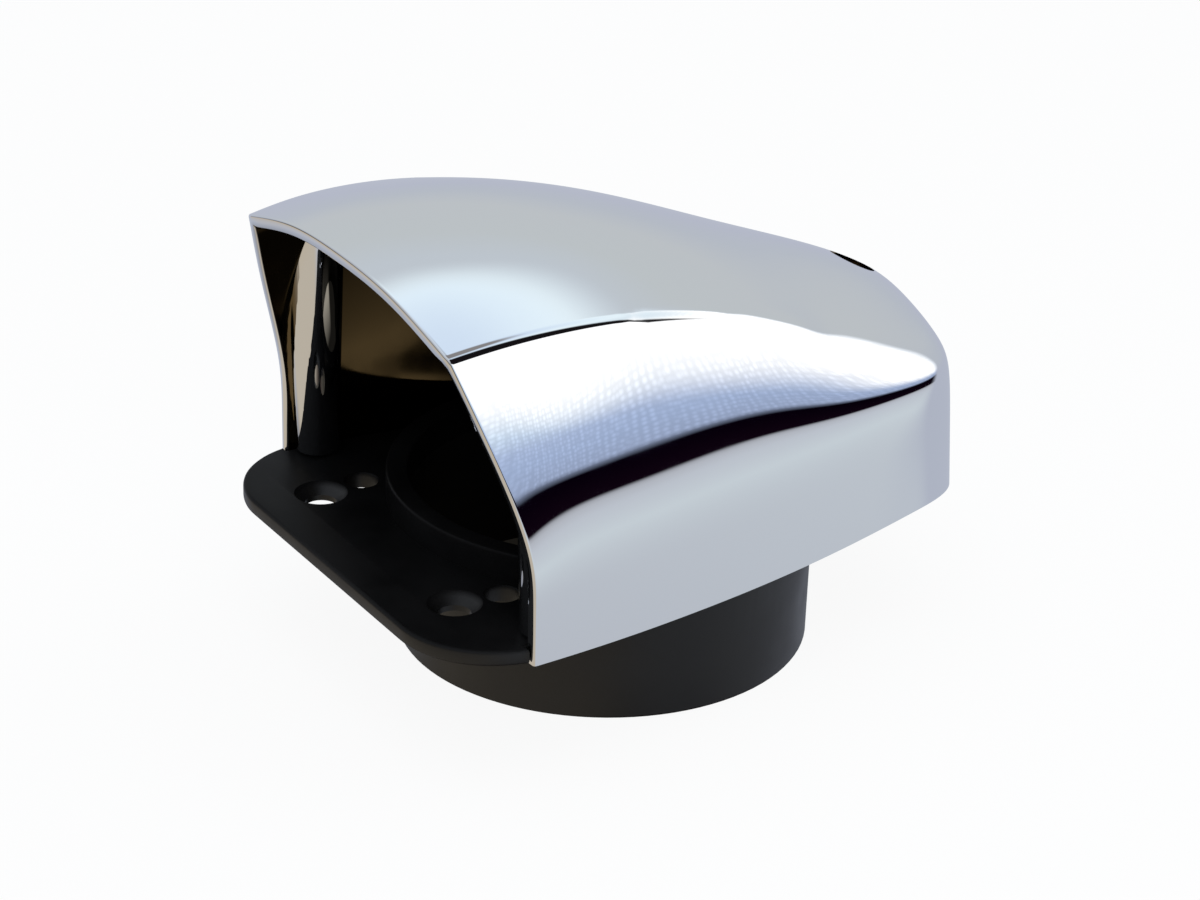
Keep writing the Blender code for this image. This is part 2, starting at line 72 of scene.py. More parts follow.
PILLAR_HEAD_DEPTH = 0.0002
PAN_HEAD_HEIGHT = 0.0025

Profile = Sequence[tuple[float, float]]
Colour = tuple[float, float, float]
Ramp = tuple[tuple[float, Colour], ...]


class Slot(Enum):
    """Material slots of the part."""

    CHROME = "chrome"
    PLASTIC = "black_plastic"
    STEEL = "stainless_steel"


class Side(Enum):
    """The two mirrored sides of the vent, with the sign of their x."""

    LEFT = -1
    RIGHT = 1

    @property
    def word(self) -> str:
        """The side's name in lower case."""
        return self.name.lower()


class Cut(Enum):
    """What an exact Boolean does with its second solid."""

    JOIN = "UNION"
    REMOVE = "DIFFERENCE"
    KEEP = "INTERSECT"


class NodeSheet:
    """A node tree that is laid out from left to right while it is built."""

    COLUMN = 190.0

    def __init__(self, tree: bpy.types.NodeTree) -> None:
        """Start an empty sheet.

        Args:
            tree: the node tree to fill.
        """
        self.tree = tree
        tree.nodes.clear()

    def add(self, kind: str, **settings: object) -> bpy.types.Node:
        """Add a node.

        Args:
            kind: the node's type name.
            settings: attributes of the node.

        Returns:
            The new node.
        """
        node = self.tree.nodes.new(kind)
        node.location.x = self.COLUMN * len(self.tree.nodes)
        for name, value in settings.items():
            setattr(node, name, value)
        return node

    def feed(self, target: bpy.types.NodeSocket, source: object) -> None:
        """Connect a socket, or set its value.

        Args:
            target: the input socket.
            source: an output socket, or a plain value.
        """
        if isinstance(source, bpy.types.NodeSocket):
            self.tree.links.new(source, target)
        else:
            target.default_value = source

    def math(self, operation: str, first: object, second: object = 0.0) -> bpy.types.NodeSocket:
        """Add a Math node.

        Args:
            operation: the Math node's operation.
            first: the first socket or number.
            second: the second socket or number.

        Returns:
            The node's output.
        """
        node = self.add("ShaderNodeMath", operation=operation)
        self.feed(node.inputs[0], first)
        self.feed(node.inputs[1], second)
        return node.outputs[0]

    def along(self, direction: bpy.types.NodeSocket, axis: Sequence[float]) -> bpy.types.NodeSocket:
        """Measure a direction along an axis.

        Args:
            direction: the direction's socket.
            axis: the axis, which need not be of length 1.

        Returns:
            The dot product.
        """
        node = self.add("ShaderNodeVectorMath", operation="DOT_PRODUCT")
        self.feed(node.inputs[0], direction)
        self.feed(node.inputs[1], axis)
        return node.outputs["Value"]

    def noise(self, scale: float, detail: float = 2.0, coords: object = None) -> bpy.types.NodeSocket:
        """Add a Noise texture in the piece's own coordinates.

        Args:
            scale: waves per metre.
            detail: octaves.
            coords: a vector socket to use in place of the piece's coordinates.

        Returns:
            The noise's value.
        """
        node = self.add("ShaderNodeTexNoise")
        self.feed(node.inputs["Vector"], coords or self.add("ShaderNodeTexCoord").outputs["Object"])
        self.feed(node.inputs["Scale"], scale)
        self.feed(node.inputs["Detail"], detail)
        return node.outputs[0]

    def remap(self, source: object, low: float, high: float,
              start: float = 0.0, end: float = 1.0, smooth: bool = False) -> bpy.types.NodeSocket:
        """Map a value from one range into another.

        Args:
            source: the value's socket.
            low: the result at start.
            high: the result at end.
            start: the source's first value.
            end: the source's last value.
            smooth: ease in and out.

        Returns:
            The mapped value.
        """
        node = self.add("ShaderNodeMapRange", interpolation_type="SMOOTHSTEP" if smooth else "LINEAR")
        for name, value in (("Value", source), ("From Min", start), ("From Max", end),
                            ("To Min", low), ("To Max", high)):
            self.feed(node.inputs[name], value)
        return node.outputs[0]

    def ramp(self, source: object, stops: Sequence[tuple[float, Sequence[float]]]) -> bpy.types.NodeSocket:
        """Add a Color Ramp.

        Args:
            source: the value's socket.
            stops: places from 0 to 1 with their colours.

        Returns:
            The ramp's colour.
        """
        node = self.add("ShaderNodeValToRGB")
        elements = node.color_ramp.elements
        while len(elements) < len(stops):
            elements.new(1.0)
        for element, (place, colour) in zip(elements, stops):
            element.position = place
            element.color = (*colour, 1.0)
        self.feed(node.inputs[0], source)
        return node.outputs[0]

    def mix(self, share: object, first: object, second: object) -> bpy.types.NodeSocket:
        """Blend two colours.

        Args:
            share: the second colour's share.
            first: the first colour.
            second: the second colour.

        Returns:
            The blended colour.
        """
        node = self.add("ShaderNodeMix", data_type="RGBA")
        self.feed(node.inputs["Factor"], share)
        self.feed(node.inputs[6], first)
        self.feed(node.inputs[7], second)
        return node.outputs[2]

    def bump(self, height: object, strength: float, distance: float) -> bpy.types.NodeSocket:
        """Add a Bump node.

        Args:
            height: the height's socket.
            strength: how much of it shows.
            distance: the relief's depth in metres.

        Returns:
            The bent normal.
        """
        node = self.add("ShaderNodeBump")
        self.feed(node.inputs["Height"], height)
        self.feed(node.inputs["Strength"], strength)
        self.feed(node.inputs["Distance"], distance)
        return node.outputs[0]

    def finish(self, shader: bpy.types.Node, output: str = "ShaderNodeOutputMaterial") -> None:
        """Send the last shader to the sheet's output.

        Args:
            shader: the shader.
            output: the output node's type name.
        """
        node = self.add(output)
        self.feed(node.inputs["Surface"], shader.outputs[0])


def empty_material(name: str) -> tuple[bpy.types.Material, NodeSheet]:
    """Make a material with an empty node sheet.

    Args:
        name: the material's name.

    Returns:
        The material and its sheet.
    """
    material = bpy.data.materials.new(name)
    material.use_nodes = True
    return material, NodeSheet(material.node_tree)


@dataclass(frozen=True)
class ChromeFinish:
    """Bright plating over a moulding, with a barely wavy skin."""

    colour: Colour = (0.86, 0.875, 0.895)
    name: str = "bright_chrome"
    roughness: tuple[float, float] = (0.012, 0.040)
    wave_scale: float = 55.0
    wave_height: float = 0.00001
    wave_strength: float = 0.35
    haze_scale: float = 130.0
    haze_range: tuple[float, float] = (0.35, 0.7)

    def material(self) -> bpy.types.Material:
        """Build the plating's material.

        Returns:
            The material.
        """
        material, sheet = empty_material(self.name)
        shader = sheet.add("ShaderNodeBsdfPrincipled")
        sheet.feed(shader.inputs["Base Color"], (*self.colour, 1.0))
        sheet.feed(shader.inputs["Metallic"], 1.0)
        haze = sheet.noise(self.haze_scale, 5.0)
        low, high = self.roughness
        sheet.feed(shader.inputs["Roughness"], sheet.remap(haze, low, high, *self.haze_range))
        wave = sheet.noise(self.wave_scale, 1.0)
        sheet.feed(shader.inputs["Normal"], sheet.bump(wave, self.wave_strength, self.wave_height))
        sheet.finish(shader)
        return material


@dataclass(frozen=True)
class MouldedPlasticFinish:
    """Black moulded plastic with a fine satin grain; its top reflects less, which is painted shade."""

    dark: Colour = (0.0026, 0.0026, 0.0028)
    pale: Colour = (0.0056, 0.0056, 0.0060)
    roughness: tuple[float, float] = (0.38, 0.52)
    cloud_scale: float = 60.0
    cloud_range: tuple[float, float] = (0.3, 0.7)
    tone_range: tuple[float, float] = (0.35, 0.65)
    grain_scale: float = 3200.0
    grain_strength: float = 0.30
    grain_height: float = 0.00003
    side_gloss: float = 0.50
    painted_shade_top_gloss: float = 0.07
    painted_shade_top_from: tuple[float, float] = (0.0022, 0.0029)

    def material(self) -> bpy.types.Material:
        """Build the plastic's material.

        Returns:
            The material.
        """
        material, sheet = empty_material("satin_black_plastic")
        shader = sheet.add("ShaderNodeBsdfPrincipled")
        cloud = sheet.noise(self.cloud_scale, 4.0)
        share = sheet.remap(cloud, 0.0, 1.0, *self.tone_range)
        sheet.feed(shader.inputs["Base Color"], sheet.mix(share, (*self.dark, 1.0), (*self.pale, 1.0)))
        low, high = self.roughness
        sheet.feed(shader.inputs["Roughness"], sheet.remap(cloud, low, high, *self.cloud_range))
        grain = sheet.noise(self.grain_scale, 2.0)
        sheet.feed(shader.inputs["Normal"], sheet.bump(grain, self.grain_strength, self.grain_height))
        # painted shade: the specular level drops from the sides to the plate's top, so the top reads darker
        place = sheet.add("ShaderNodeTexCoord").outputs["Object"]
        height = sheet.along(place, (0.0, 0.0, 1.0))
        gloss = sheet.remap(height, self.side_gloss, self.painted_shade_top_gloss, *self.painted_shade_top_from)
        sheet.feed(shader.inputs["Specular IOR Level"], gloss)
        sheet.finish(shader)
        return material


@dataclass(frozen=True)
class StainlessFinish:
    """Turned stainless steel of the screws."""

    colour: Colour = (0.60, 0.58, 0.56)
    roughness: tuple[float, float] = (0.22, 0.38)
    mark_scale: float = 900.0
    mark_range: tuple[float, float] = (0.3, 0.7)
    mark_strength: float = 0.4
    mark_height: float = 0.00001

    def material(self) -> bpy.types.Material:
        """Build the steel's material.

        Returns:
            The material.
        """
        material, sheet = empty_material("turned_stainless")
        shader = sheet.add("ShaderNodeBsdfPrincipled")
        sheet.feed(shader.inputs["Base Color"], (*self.colour, 1.0))
        sheet.feed(shader.inputs["Metallic"], 1.0)
        marks = sheet.noise(self.mark_scale, 3.0)
        low, high = self.roughness
        sheet.feed(shader.inputs["Roughness"], sheet.remap(marks, low, high, *self.mark_range))
        sheet.feed(shader.inputs["Normal"], sheet.bump(marks, self.mark_strength, self.mark_height))
        sheet.finish(shader)
        return material


@dataclass(frozen=True)
class FloorFinish:
    """Pale matt studio floor that reads as white from the camera."""

    colour: Colour = (0.80, 0.81, 0.82)
    patch_colour: Colour = (0.77, 0.78, 0.79)
    patch_scale: float = 3.0
    patch_share: float = 0.3
    white_share: float = 0.92

    def material(self) -> bpy.types.Material:
        """Build the floor's material.

        Returns:
            The material.
        """
        material, sheet = empty_material("pale_floor")
        matt = sheet.add("ShaderNodeBsdfDiffuse")
        patches = sheet.remap(sheet.noise(self.patch_scale), 0.0, self.patch_share)
        tone = sheet.mix(patches, (*self.colour, 1.0), (*self.patch_colour, 1.0))
        sheet.feed(matt.inputs["Color"], tone)
        white = sheet.add("ShaderNodeEmission")
        sheet.feed(white.inputs["Strength"], 1.0)
        path = sheet.add("ShaderNodeLightPath")
        seen = sheet.math("MULTIPLY", path.outputs["Is Camera Ray"], self.white_share)
        blend = sheet.add("ShaderNodeMixShader")
        sheet.feed(blend.inputs[0], seen)
        sheet.feed(blend.inputs[1], matt.outputs[0])
        sheet.feed(blend.inputs[2], white.outputs[0])
        sheet.finish(blend)
        return material


@dataclass(frozen=True)
class DuctPaintedGlowFinish:
    """Painted shade and painted light for the floor inside the spigot: a dark disc that glows warm on its
    right, though it is no lamp.
    """

    colour: Colour = (0.30, 0.27, 0.22)
    painted_glow_x: tuple[float, float] = (-0.002, 0.026)
    painted_glow_y: tuple[float, float] = (0.012, 0.003)
    least: float = 0.03

    def material(self) -> bpy.types.Material:
        """Build the dim floor's material.

        Returns:
            The material.
        """
        material, sheet = empty_material("painted_glow_duct_finish")
        split = sheet.add("ShaderNodeSeparateXYZ")
        sheet.feed(split.inputs[0], sheet.add("ShaderNodeTexCoord").outputs["Object"])
        across = sheet.remap(split.outputs[0], 0.0, 1.0, *self.painted_glow_x)
        along = sheet.remap(split.outputs[1], 1.0, 0.0, self.painted_glow_y[1], self.painted_glow_y[0], smooth=True)
        # painted light: the emission strength comes from the place across and along the disc, with a dim
        # least glow elsewhere
        light = sheet.math("MAXIMUM", sheet.math("MULTIPLY", across, along), self.least)
        glow = sheet.add("ShaderNodeEmission")
        sheet.feed(glow.inputs["Color"], (*self.colour, 1.0))
        sheet.feed(glow.inputs["Strength"], light)
        sheet.finish(glow)
        return material


class Workshop:
    """Scratch solids that shape the pieces; they are removed when a piece is done."""

    FINE_STEPS = 96
    POST_STEPS = 64
    SCREW_STEPS = 40
    BORE_STEPS = 32

    def __init__(self) -> None:
        """Start with an empty bench."""
        self.bench: list[bpy.types.Object] = []

    def hold(self, name: str, mesh: bpy.types.Mesh) -> bpy.types.Object:
        """Put a mesh on the bench as an object.

        Args:
            name: the object's name.
            mesh: its mesh.

        Returns:
            The object.
        """
        item = bpy.data.objects.new(name, mesh)
        bpy.context.scene.collection.objects.link(item)
        self.bench.append(item)
        return item

    def turned(self, name: str, profile: Profile, centre: Sequence[float] = (0.0, 0.0, 0.0),
               steps: int = FINE_STEPS) -> bpy.types.Object:
        """Turn a profile about a vertical axis.

        Args:
            name: the object's name.
            profile: pairs of radius and height down the outer side.
            centre: where the axis stands.
            steps: faces round the axis.

        Returns:
            The turned solid.
        """
        mesh = bpy.data.meshes.new(name)
        shape = bmesh.new()
        rim = [shape.verts.new((radius, 0.0, z)) for radius, z in profile]
        for upper, lower in zip(rim, rim[1:]):
            shape.edges.new((upper, lower))
        if profile[0][0] > 0.0:
            shape.edges.new((rim[-1], rim[0]))
        shape.to_mesh(mesh)
        shape.free()
        item = self.hold(name, mesh)
        item.location = centre
        spin = item.modifiers.new("turn", "SCREW")
        spin.steps = steps
        spin.render_steps = steps
        spin.use_merge_vertices = True
        spin.merge_threshold = 0.00001
        return item

    def block(self, name: str, low: Sequence[float], high: Sequence[float]) -> bpy.types.Object:
        """Make a rectangular scratch solid.

        Args:
            name: the object's name.
            low: its lowest corner.
            high: its highest corner.

        Returns:
            The block.
        """
        mesh = bpy.data.meshes.new(name)
        shape = bmesh.new()
        size = Vector(high) - Vector(low)
        middle = (Vector(high) + Vector(low)) / 2
        stretch = Matrix.Translation(middle) @ Matrix.Diagonal((*size, 1.0))
        bmesh.ops.create_cube(shape, size=1.0, matrix=stretch)
        shape.to_mesh(mesh)
        shape.free()
        return self.hold(name, mesh)

    def combine(self, target: bpy.types.Object, other: bpy.types.Object, cut: Cut) -> None:
        """Join, cut or trim a solid with another.

        Args:
            target: the solid that changes.
            other: the solid that changes it.
            cut: what to do.
        """
        step = target.modifiers.new(other.name, "BOOLEAN")
        step.operation = cut.value
        step.solver = "EXACT"
        step.object = other

    def shaped(self, item: bpy.types.Object) -> bpy.types.Mesh:
        """Read a solid with all its modifiers.

        Args:
            item: the solid.

        Returns:
            A new mesh of its final shape.
        """
        view = bpy.context.evaluated_depsgraph_get()
        return bpy.data.meshes.new_from_object(item.evaluated_get(view))

    def clear(self) -> None:
        """Remove every scratch solid."""
        for item in self.bench:
            bpy.data.objects.remove(item, do_unlink=True)
        self.bench.clear()


@dataclass(frozen=True)
class Place:
    """Where the spigot's axis and the deck face lie in the row frame."""

    axis_y: float
    deck_z: float

    @classmethod
    def from_frame(cls, lip_reach: float) -> "Place":
        """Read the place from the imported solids.

        Args:
            lip_reach: the lip's front edge from the spigot's axis.

        Returns:
            The place.
        """
        plate_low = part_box("base_plate")[0]
        cowl_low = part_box("cowl_shell")[0]
        return cls(axis_y=plate_low[1] + lip_reach, deck_z=cowl_low[2])

    def point(self) -> Vector:
        """The place as a vector."""
        return Vector((0.0, self.axis_y, self.deck_z))


@dataclass(frozen=True)
class Piece:
    """How a finished mesh joins the scene."""

    name: str
    node: str
    slot: Slot
    sharp_angle: float = 35.0

    def add(self, mesh: bpy.types.Mesh, materials: Sequence[bpy.types.Material],
            place: Place) -> bpy.types.Object:
        """Dress a mesh, set it in place and let it stand for its node.

        Args:
            mesh: the finished mesh.
            materials: its finishes, in the order of its faces' numbers.
            place: where the vent stands.

        Returns:
            The piece.
        """
        group = bpy.data.collections.get(PIECES)
        if group is None:
            group = bpy.data.collections.new(PIECES)
            bpy.context.scene.collection.children.link(group)
        mesh.name = self.name
        numbers = [face.material_index for face in mesh.polygons]
        mesh.materials.clear()
        for material in materials:
            mesh.materials.append(material)
        for face, number in zip(mesh.polygons, numbers):
            face.material_index = min(number, len(materials) - 1)
        mesh.shade_smooth()
        mesh.set_sharp_from_angle(angle=math.radians(self.sharp_angle))
        self.part_finishes(mesh)
        item = bpy.data.objects.new(self.name, mesh)
        group.objects.link(item)
        item.location = place.point()
        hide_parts(self.node)
        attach(item, BODY)
        LOG.info("%s: %d faces, stands for %s", self.name, len(mesh.polygons), self.node)
        return item

    def part_finishes(self, mesh: bpy.types.Mesh) -> None:
        """Keep the shading apart where two finishes meet.

        Args:
            mesh: the finished mesh.
        """
        finishes: dict[int, set[int]] = {}
        for face in mesh.polygons:
            for loop in face.loop_indices:
                finishes.setdefault(mesh.loops[loop].edge_index, set()).add(face.material_index)
        for index, found in finishes.items():
            if len(found) > 1:
                mesh.edges[index].use_edge_sharp = True


def arc(centre: tuple[float, float], radius: float, start: float, end: float,
        steps: int = 4) -> list[tuple[float, float]]:
    """Points along an arc in a profile.

    Args:
        centre: the arc's centre as radius and height.
        radius: the arc's radius.
        start: the first angle in degrees, 0 outwards and 90 up.
        end: the last angle in degrees.
        steps: spans along the arc.

    Returns:
        The points from start to end.
    """
    points = []
    for step in range(steps + 1):
        angle = math.radians(start + (end - start) * step / steps)
        points.append((centre[0] + radius * math.cos(angle), centre[1] + radius * math.sin(angle)))
    return points


def spline_point(before: Vector, start: Vector, end: Vector, after: Vector, share: float) -> Vector:
    """A point on one span of a uniform cubic B-spline.

    Args:
        before: the control point before the span.
        start: the span's first control point.
        end: the span's last control point.
        after: the control point after the span.
        share: how far along the span, from 0 to 1.

    Returns:
        The point.
    """
    weights = (
        (1 - share) ** 3,
        3 * share ** 3 - 6 * share ** 2 + 4,
        -3 * share ** 3 + 3 * share ** 2 + 3 * share + 1,
        share ** 3,
    )
    corners = (before, start, end, after)
    return sum((corner * (weight / 6) for corner, weight in zip(corners, weights)), Vector())


@dataclass(frozen=True)
class SideStation:
    """A rib of the cowl's side, from the foot up to the crown.

    The first three are shares along the cowl, from the mouth's foot to the
    rear.  The others are shares of the cowl's height: four heights and the
    crown's, then how far the cheek and the crease stand in from the wall.  The
    bend and cheek heights and the cheek insets were refitted to the edges of
    the reflections in the photograph.
    """

    foot: float
    crease: float
    crown: float
    bend_z: float
    cheek_z: float
    crease_z: float
    roof_z: float
    crown_z: float
    cheek_in: float
    crease_in: float


@dataclass(frozen=True)
class RearStation:
    """A rib of the cowl's rear wall, at a share of the way across to the corner."""

    across: float
    cheek_in: float
    crease_in: float
    bend_z: float
    cheek_z: float
    crease_z: float


@dataclass
class CowlShell:
    """The chromed cowl with the pillars and the rear boss moulded inside it."""

    mouth_y: float = -0.0419
    rear_y: float = 0.0639
    mouth_half_width: float = 0.046
    side_radius: float = 0.304
    side_toe_in: float = 0.03
    rear_half_width: float = 0.0246
    height: float = 0.0605
    rear_draft: float = 0.0012
    rear_bow: float = 0.0007
    wall: float = 0.0023
    foot_spare: float = 0.001
    wall_row: float = 0.5
    roof_column: float = 0.5
    roof_lean: tuple[float, float] = (0.35, 0.65)
    edge_round: float = 0.0005
    inner_edge_round: float = 0.0003
    skin_levels: int = 4
    core_levels: int = 3
    evening_rounds: int = 12
    sharp_angle: float = 62.0
    foot_round: float = 0.0004
    crease_sharpness: tuple[float, ...] = (1.0, 1.0, 0.75, 0.45, 0.2)
    pillar_x: float = 0.0409
    pillar_y: float = -0.0371
    pillar_radius: float = 0.0041
    pillar_draft: float = math.radians(1.5)
    pillar_foot_z: float = 0.0033
    pillar_bore: tuple[float, float, float] = (0.0394, 0.00175, 0.0126)
    rear_screw_y: float = 0.0527
    rear_seat_z: float = 0.0285
    rear_recess_radius: float = 0.0042
    rear_bore_radius: float = 0.0024
    rear_boss_radius: float = 0.0065
    rear_boss_floor: float = 0.0035
    sides: tuple[SideStation, ...] = (
        SideStation(0.000, -0.106, -0.118, 0.335, 0.641, 0.902, 0.992, 1.008, 0.0662, 0.1702),
        SideStation(0.084, 0.010, -0.004, 0.388, 0.655, 0.934, 1.034, 1.052, 0.0455, 0.1471),
        SideStation(0.226, 0.212, 0.207, 0.408, 0.647, 0.926, 1.034, 1.060, 0.0469, 0.1322),
        SideStation(0.443, 0.443, 0.443, 0.419, 0.616, 0.833, 0.932, 0.964, 0.0382, 0.1190),
        SideStation(0.651, 0.651, 0.651, 0.413, 0.526, 0.677, 0.774, 0.812, 0.0365, 0.0942),
        SideStation(0.859, 0.850, 0.845, 0.395, 0.443, 0.531, 0.645, 0.690, 0.0234, 0.0628),
    )
    rears: tuple[RearStation, ...] = (
        RearStation(1.000, 0.0248, 0.0612, 0.400, 0.440, 0.478),
        RearStation(0.420, 0.0198, 0.0562, 0.435, 0.492, 0.557),
        RearStation(0.000, 0.0182, 0.0529, 0.447, 0.510, 0.582),
    )
    workshop: Workshop = field(default_factory=Workshop)

    def half_width(self, y: float) -> float:
        """Half the cowl's width at its foot, where the side wall is one long arc.

        Args:
            y: a place along the cowl.

        Returns:
            The side wall's x.
        """
        angle = math.atan(self.side_toe_in)
        centre_y = self.mouth_y - self.side_radius * math.sin(angle)
        centre_x = self.mouth_half_width - self.side_radius * math.cos(angle)
        return centre_x + math.sqrt(self.side_radius ** 2 - (y - centre_y) ** 2)

    def along(self, share: float) -> float:
        """Turn a share along the cowl into y.

        Args:
            share: 0 at the mouth's foot and 1 at the rear.

        Returns:
            The place's y.
        """
        return self.mouth_y + share * (self.rear_y - self.mouth_y)

    def side_rib(self, station: SideStation) -> list[Vector]:
        """The cage points of a side rib: five up the wall, then two on the roof.

        Args:
            station: the rib's station.

        Returns:
            The points from the foot to the crown.
        """
        foot_y = self.along(station.foot)
        crease_y = self.along(station.crease)
        crown_y = self.along(station.crown)
        width = self.half_width(foot_y)
        climb = (station.cheek_z - station.bend_z) / (station.crease_z - station.bend_z)
        cheek_y = foot_y + climb * (crease_y - foot_y)
        roof_y = self.roof_lean[0] * crease_y + self.roof_lean[1] * crown_y
        crease_x = width - station.crease_in * self.height
        return [
            Vector((width, foot_y, -self.foot_spare)),
            Vector((width, foot_y, self.wall_row * station.bend_z * self.height)),
            Vector((width, foot_y, station.bend_z * self.height)),
            Vector((width - station.cheek_in * self.height, cheek_y, station.cheek_z * self.height)),
            Vector((crease_x, crease_y, station.crease_z * self.height)),
            Vector((crease_x * self.roof_column, roof_y, station.roof_z * self.height)),
            Vector((0.0, crown_y, station.crown_z * self.height)),
        ]

    def rear_rib(self, station: RearStation) -> list[Vector]:
        """The cage points of a rear rib, from the foot up to the roof's edge.

        Args:
            station: the rib's station.

        Returns:
            The points from the foot up.
        """
        rows = (
            (0.0, -self.foot_spare),
            (self.wall_row * self.rear_draft, self.wall_row * station.bend_z * self.height),
            (self.rear_draft, station.bend_z * self.height),
            (self.rear_draft + station.cheek_in * self.height, station.cheek_z * self.height),
            (self.rear_draft + station.crease_in * self.height, station.crease_z * self.height),
        )
        foot_y = self.rear_y - self.rear_bow * station.across ** 2
        return [
            Vector((station.across * (self.rear_half_width - inset), foot_y - inset, z))
            for inset, z in rows
        ]

    def cage(self, name: str) -> bpy.types.Mesh:
        """Half of the cowl's cage, open at the middle, at the mouth and at the foot.

        Args:
            name: the mesh's name.

        Returns:
            The cage.
        """
        wall_rows = 5
        crease_row = wall_rows - 1
        shape = bmesh.new()
        sides = [[shape.verts.new(point) for point in self.side_rib(station)] for station in self.sides]
        rears = [[shape.verts.new(point) for point in self.rear_rib(station)] for station in self.rears]
        ring = [rib[:wall_rows] for rib in sides] + rears
        for rib, following in zip(ring, ring[1:]):
            for row in range(crease_row):
                shape.faces.new((rib[row], following[row], following[row + 1], rib[row + 1]))
        roof = [rib[crease_row:] for rib in sides]
        roof.append([rib[crease_row] for rib in rears])
        for rib, following in zip(roof, roof[1:]):
            for row in range(2):
                shape.faces.new((rib[row], following[row], following[row + 1], rib[row + 1]))
        crease = shape.edges.layers.float.new("crease_edge")
        for index, sharpness in enumerate(self.crease_sharpness):
            edge = shape.edges.get((sides[index][crease_row], sides[index + 1][crease_row]))
            edge[crease] = sharpness
        mesh = bpy.data.meshes.new(name)
        shape.to_mesh(mesh)
        shape.free()
        return mesh

    def footprint(self, inset: float, spans: int = 8) -> list[Vector]:
        """The foot line from the mouth to the rear middle, moved inwards.

        Args:
            inset: how far to move it.
            spans: points for each span of the cage.

        Returns:
            The line's points.
        """
        control = [self.side_rib(station)[0] for station in self.sides]
        control += [self.rear_rib(station)[0] for station in self.rears]
        control.insert(0, control[0] * 2 - control[1])
        control.append(Vector((-control[-2].x, control[-2].y, 0.0)))
        line = []
        for index in range(len(control) - 3):
            line += [spline_point(*control[index:index + 4], step / spans) for step in range(spans)]
        line.append(spline_point(*control[-4:], 1.0))
        moved = []
        for index, point in enumerate(line):
            if index == len(line) - 1:
                run = Vector((-1.0, 0.0, 0.0))
            else:
                run = line[index + 1] - line[max(index - 1, 0)]
            moved.append(point + Vector((-run.y, run.x, 0.0)).normalized() * inset)
        return moved

    def skin(self, name: str, levels: int) -> bpy.types.Object:
        """The cowl's outer skin, from its cage.

        Args:
            name: the object's name.
            levels: subdivision levels.

        Returns:
            The open skin.
        """
        item = self.workshop.hold(name, self.cage(name))
        mirror = item.modifiers.new("other half", "MIRROR")
        mirror.use_axis = (True, False, False)
        mirror.merge_threshold = 0.00001
        smooth = item.modifiers.new("skin", "SUBSURF")
        smooth.levels = levels
        smooth.render_levels = levels
        smooth.boundary_smooth = "PRESERVE_CORNERS"
        return item

    def core(self) -> bpy.types.Object:
        """The cowl filled up to the middle of its wall, which trims what stands inside.

        Returns:
            The closed solid.
        """
        mesh = self.workshop.shaped(self.skin("core_skin", self.core_levels))
        shape = bmesh.new()
        shape.from_mesh(mesh)
        shape.normal_update()
        moved = [vert.co - vert.normal * (self.wall / 2) for vert in shape.verts]
        rim = self.open_rim(shape)
        twins = []
        for end in rim:
            mirrored = Vector((-end.co.x, end.co.y, end.co.z))
            twins.append(min(shape.verts, key=lambda vert: (vert.co - mirrored).length))
        for index in range(len(rim) - 1):
            corners = [rim[index], rim[index + 1], twins[index + 1], twins[index]]
            shape.faces.new(list(dict.fromkeys(corners)))
        for vert, place in zip(shape.verts, moved):
            vert.co = place
        bmesh.ops.recalc_face_normals(shape, faces=shape.faces)
        shape.to_mesh(mesh)
        shape.free()
        return self.workshop.hold("core", mesh)

    def open_rim(self, shape: bmesh.types.BMesh) -> list[bmesh.types.BMVert]:
        """The skin's open border on the right, from the mouth's crown to the rear middle.

        Args:
            shape: the open skin.

        Returns:
            The border's points in order.
        """
        middle = [vert for vert in shape.verts if vert.is_boundary and abs(vert.co.x) < 1e-6]
        current = max(middle, key=lambda vert: vert.co.z)
        walk = [current]
        while len(walk) < 2 or current not in middle:
            onward = [edge.other_vert(current) for edge in current.link_edges if edge.is_boundary]
            onward = [vert for vert in onward if vert not in walk and vert.co.x > -1e-6]
            current = onward[0]
            walk.append(current)
        return walk

    def walled(self) -> bpy.types.Object:
        """The skin with its inner face and its rim, which is rounded round the mouth.

        The inner face keeps off the crease: it is set in along directions that
        are evened out over the neighbouring points, so it never crosses itself.

        Returns:
            The closed wall.
        """
        mesh = self.workshop.shaped(self.skin("outer_skin", self.skin_levels))
        shape = bmesh.new()
        shape.from_mesh(mesh)
        shape.normal_update()
        inwards = {vert: -vert.normal for vert in shape.verts}
        for _ in range(self.evening_rounds):
            inwards = {
                vert: sum((inwards[edge.other_vert(vert)] for edge in vert.link_edges), way * 2).normalized()
                for vert, way in inwards.items()
            }
        outer_faces = list(shape.faces)
        border = [edge for edge in shape.edges if edge.is_boundary]
        twins = {vert: shape.verts.new(vert.co + way * self.wall) for vert, way in inwards.items()}
        for face in outer_faces:
            inner = shape.faces.new([twins[vert] for vert in reversed(face.verts)])
            # the inner faces take the second finish, whose dark warm colour is painted shade of the hollow
            inner.material_index = 1
        for edge in border:
            loop = edge.link_loops[0]
            start, end = loop.vert, loop.link_loop_next.vert
            shape.faces.new((end, start, twins[start], twins[end]))
        bmesh.ops.recalc_face_normals(shape, faces=shape.faces)
        mouth = [edge for edge in border if max(vert.co.z for vert in edge.verts) > 0.0
                 and edge.verts[0].co.y + edge.verts[1].co.y < 2 * self.mouth_y + self.height]
        inner_ends = [[twins[vert] for vert in edge.verts] for edge in mouth]
        bmesh.ops.bevel(
            shape, geom=mouth, offset=self.edge_round, segments=4, profile=0.5, affect="EDGES", material=0)
        bmesh.ops.bevel(
            shape, geom=[shape.edges.get(ends) for ends in inner_ends], offset=self.inner_edge_round,
            segments=2, profile=0.5, affect="EDGES", material=0)
        shape.to_mesh(mesh)
        shape.free()
        return self.workshop.hold("cowl_wall", mesh)

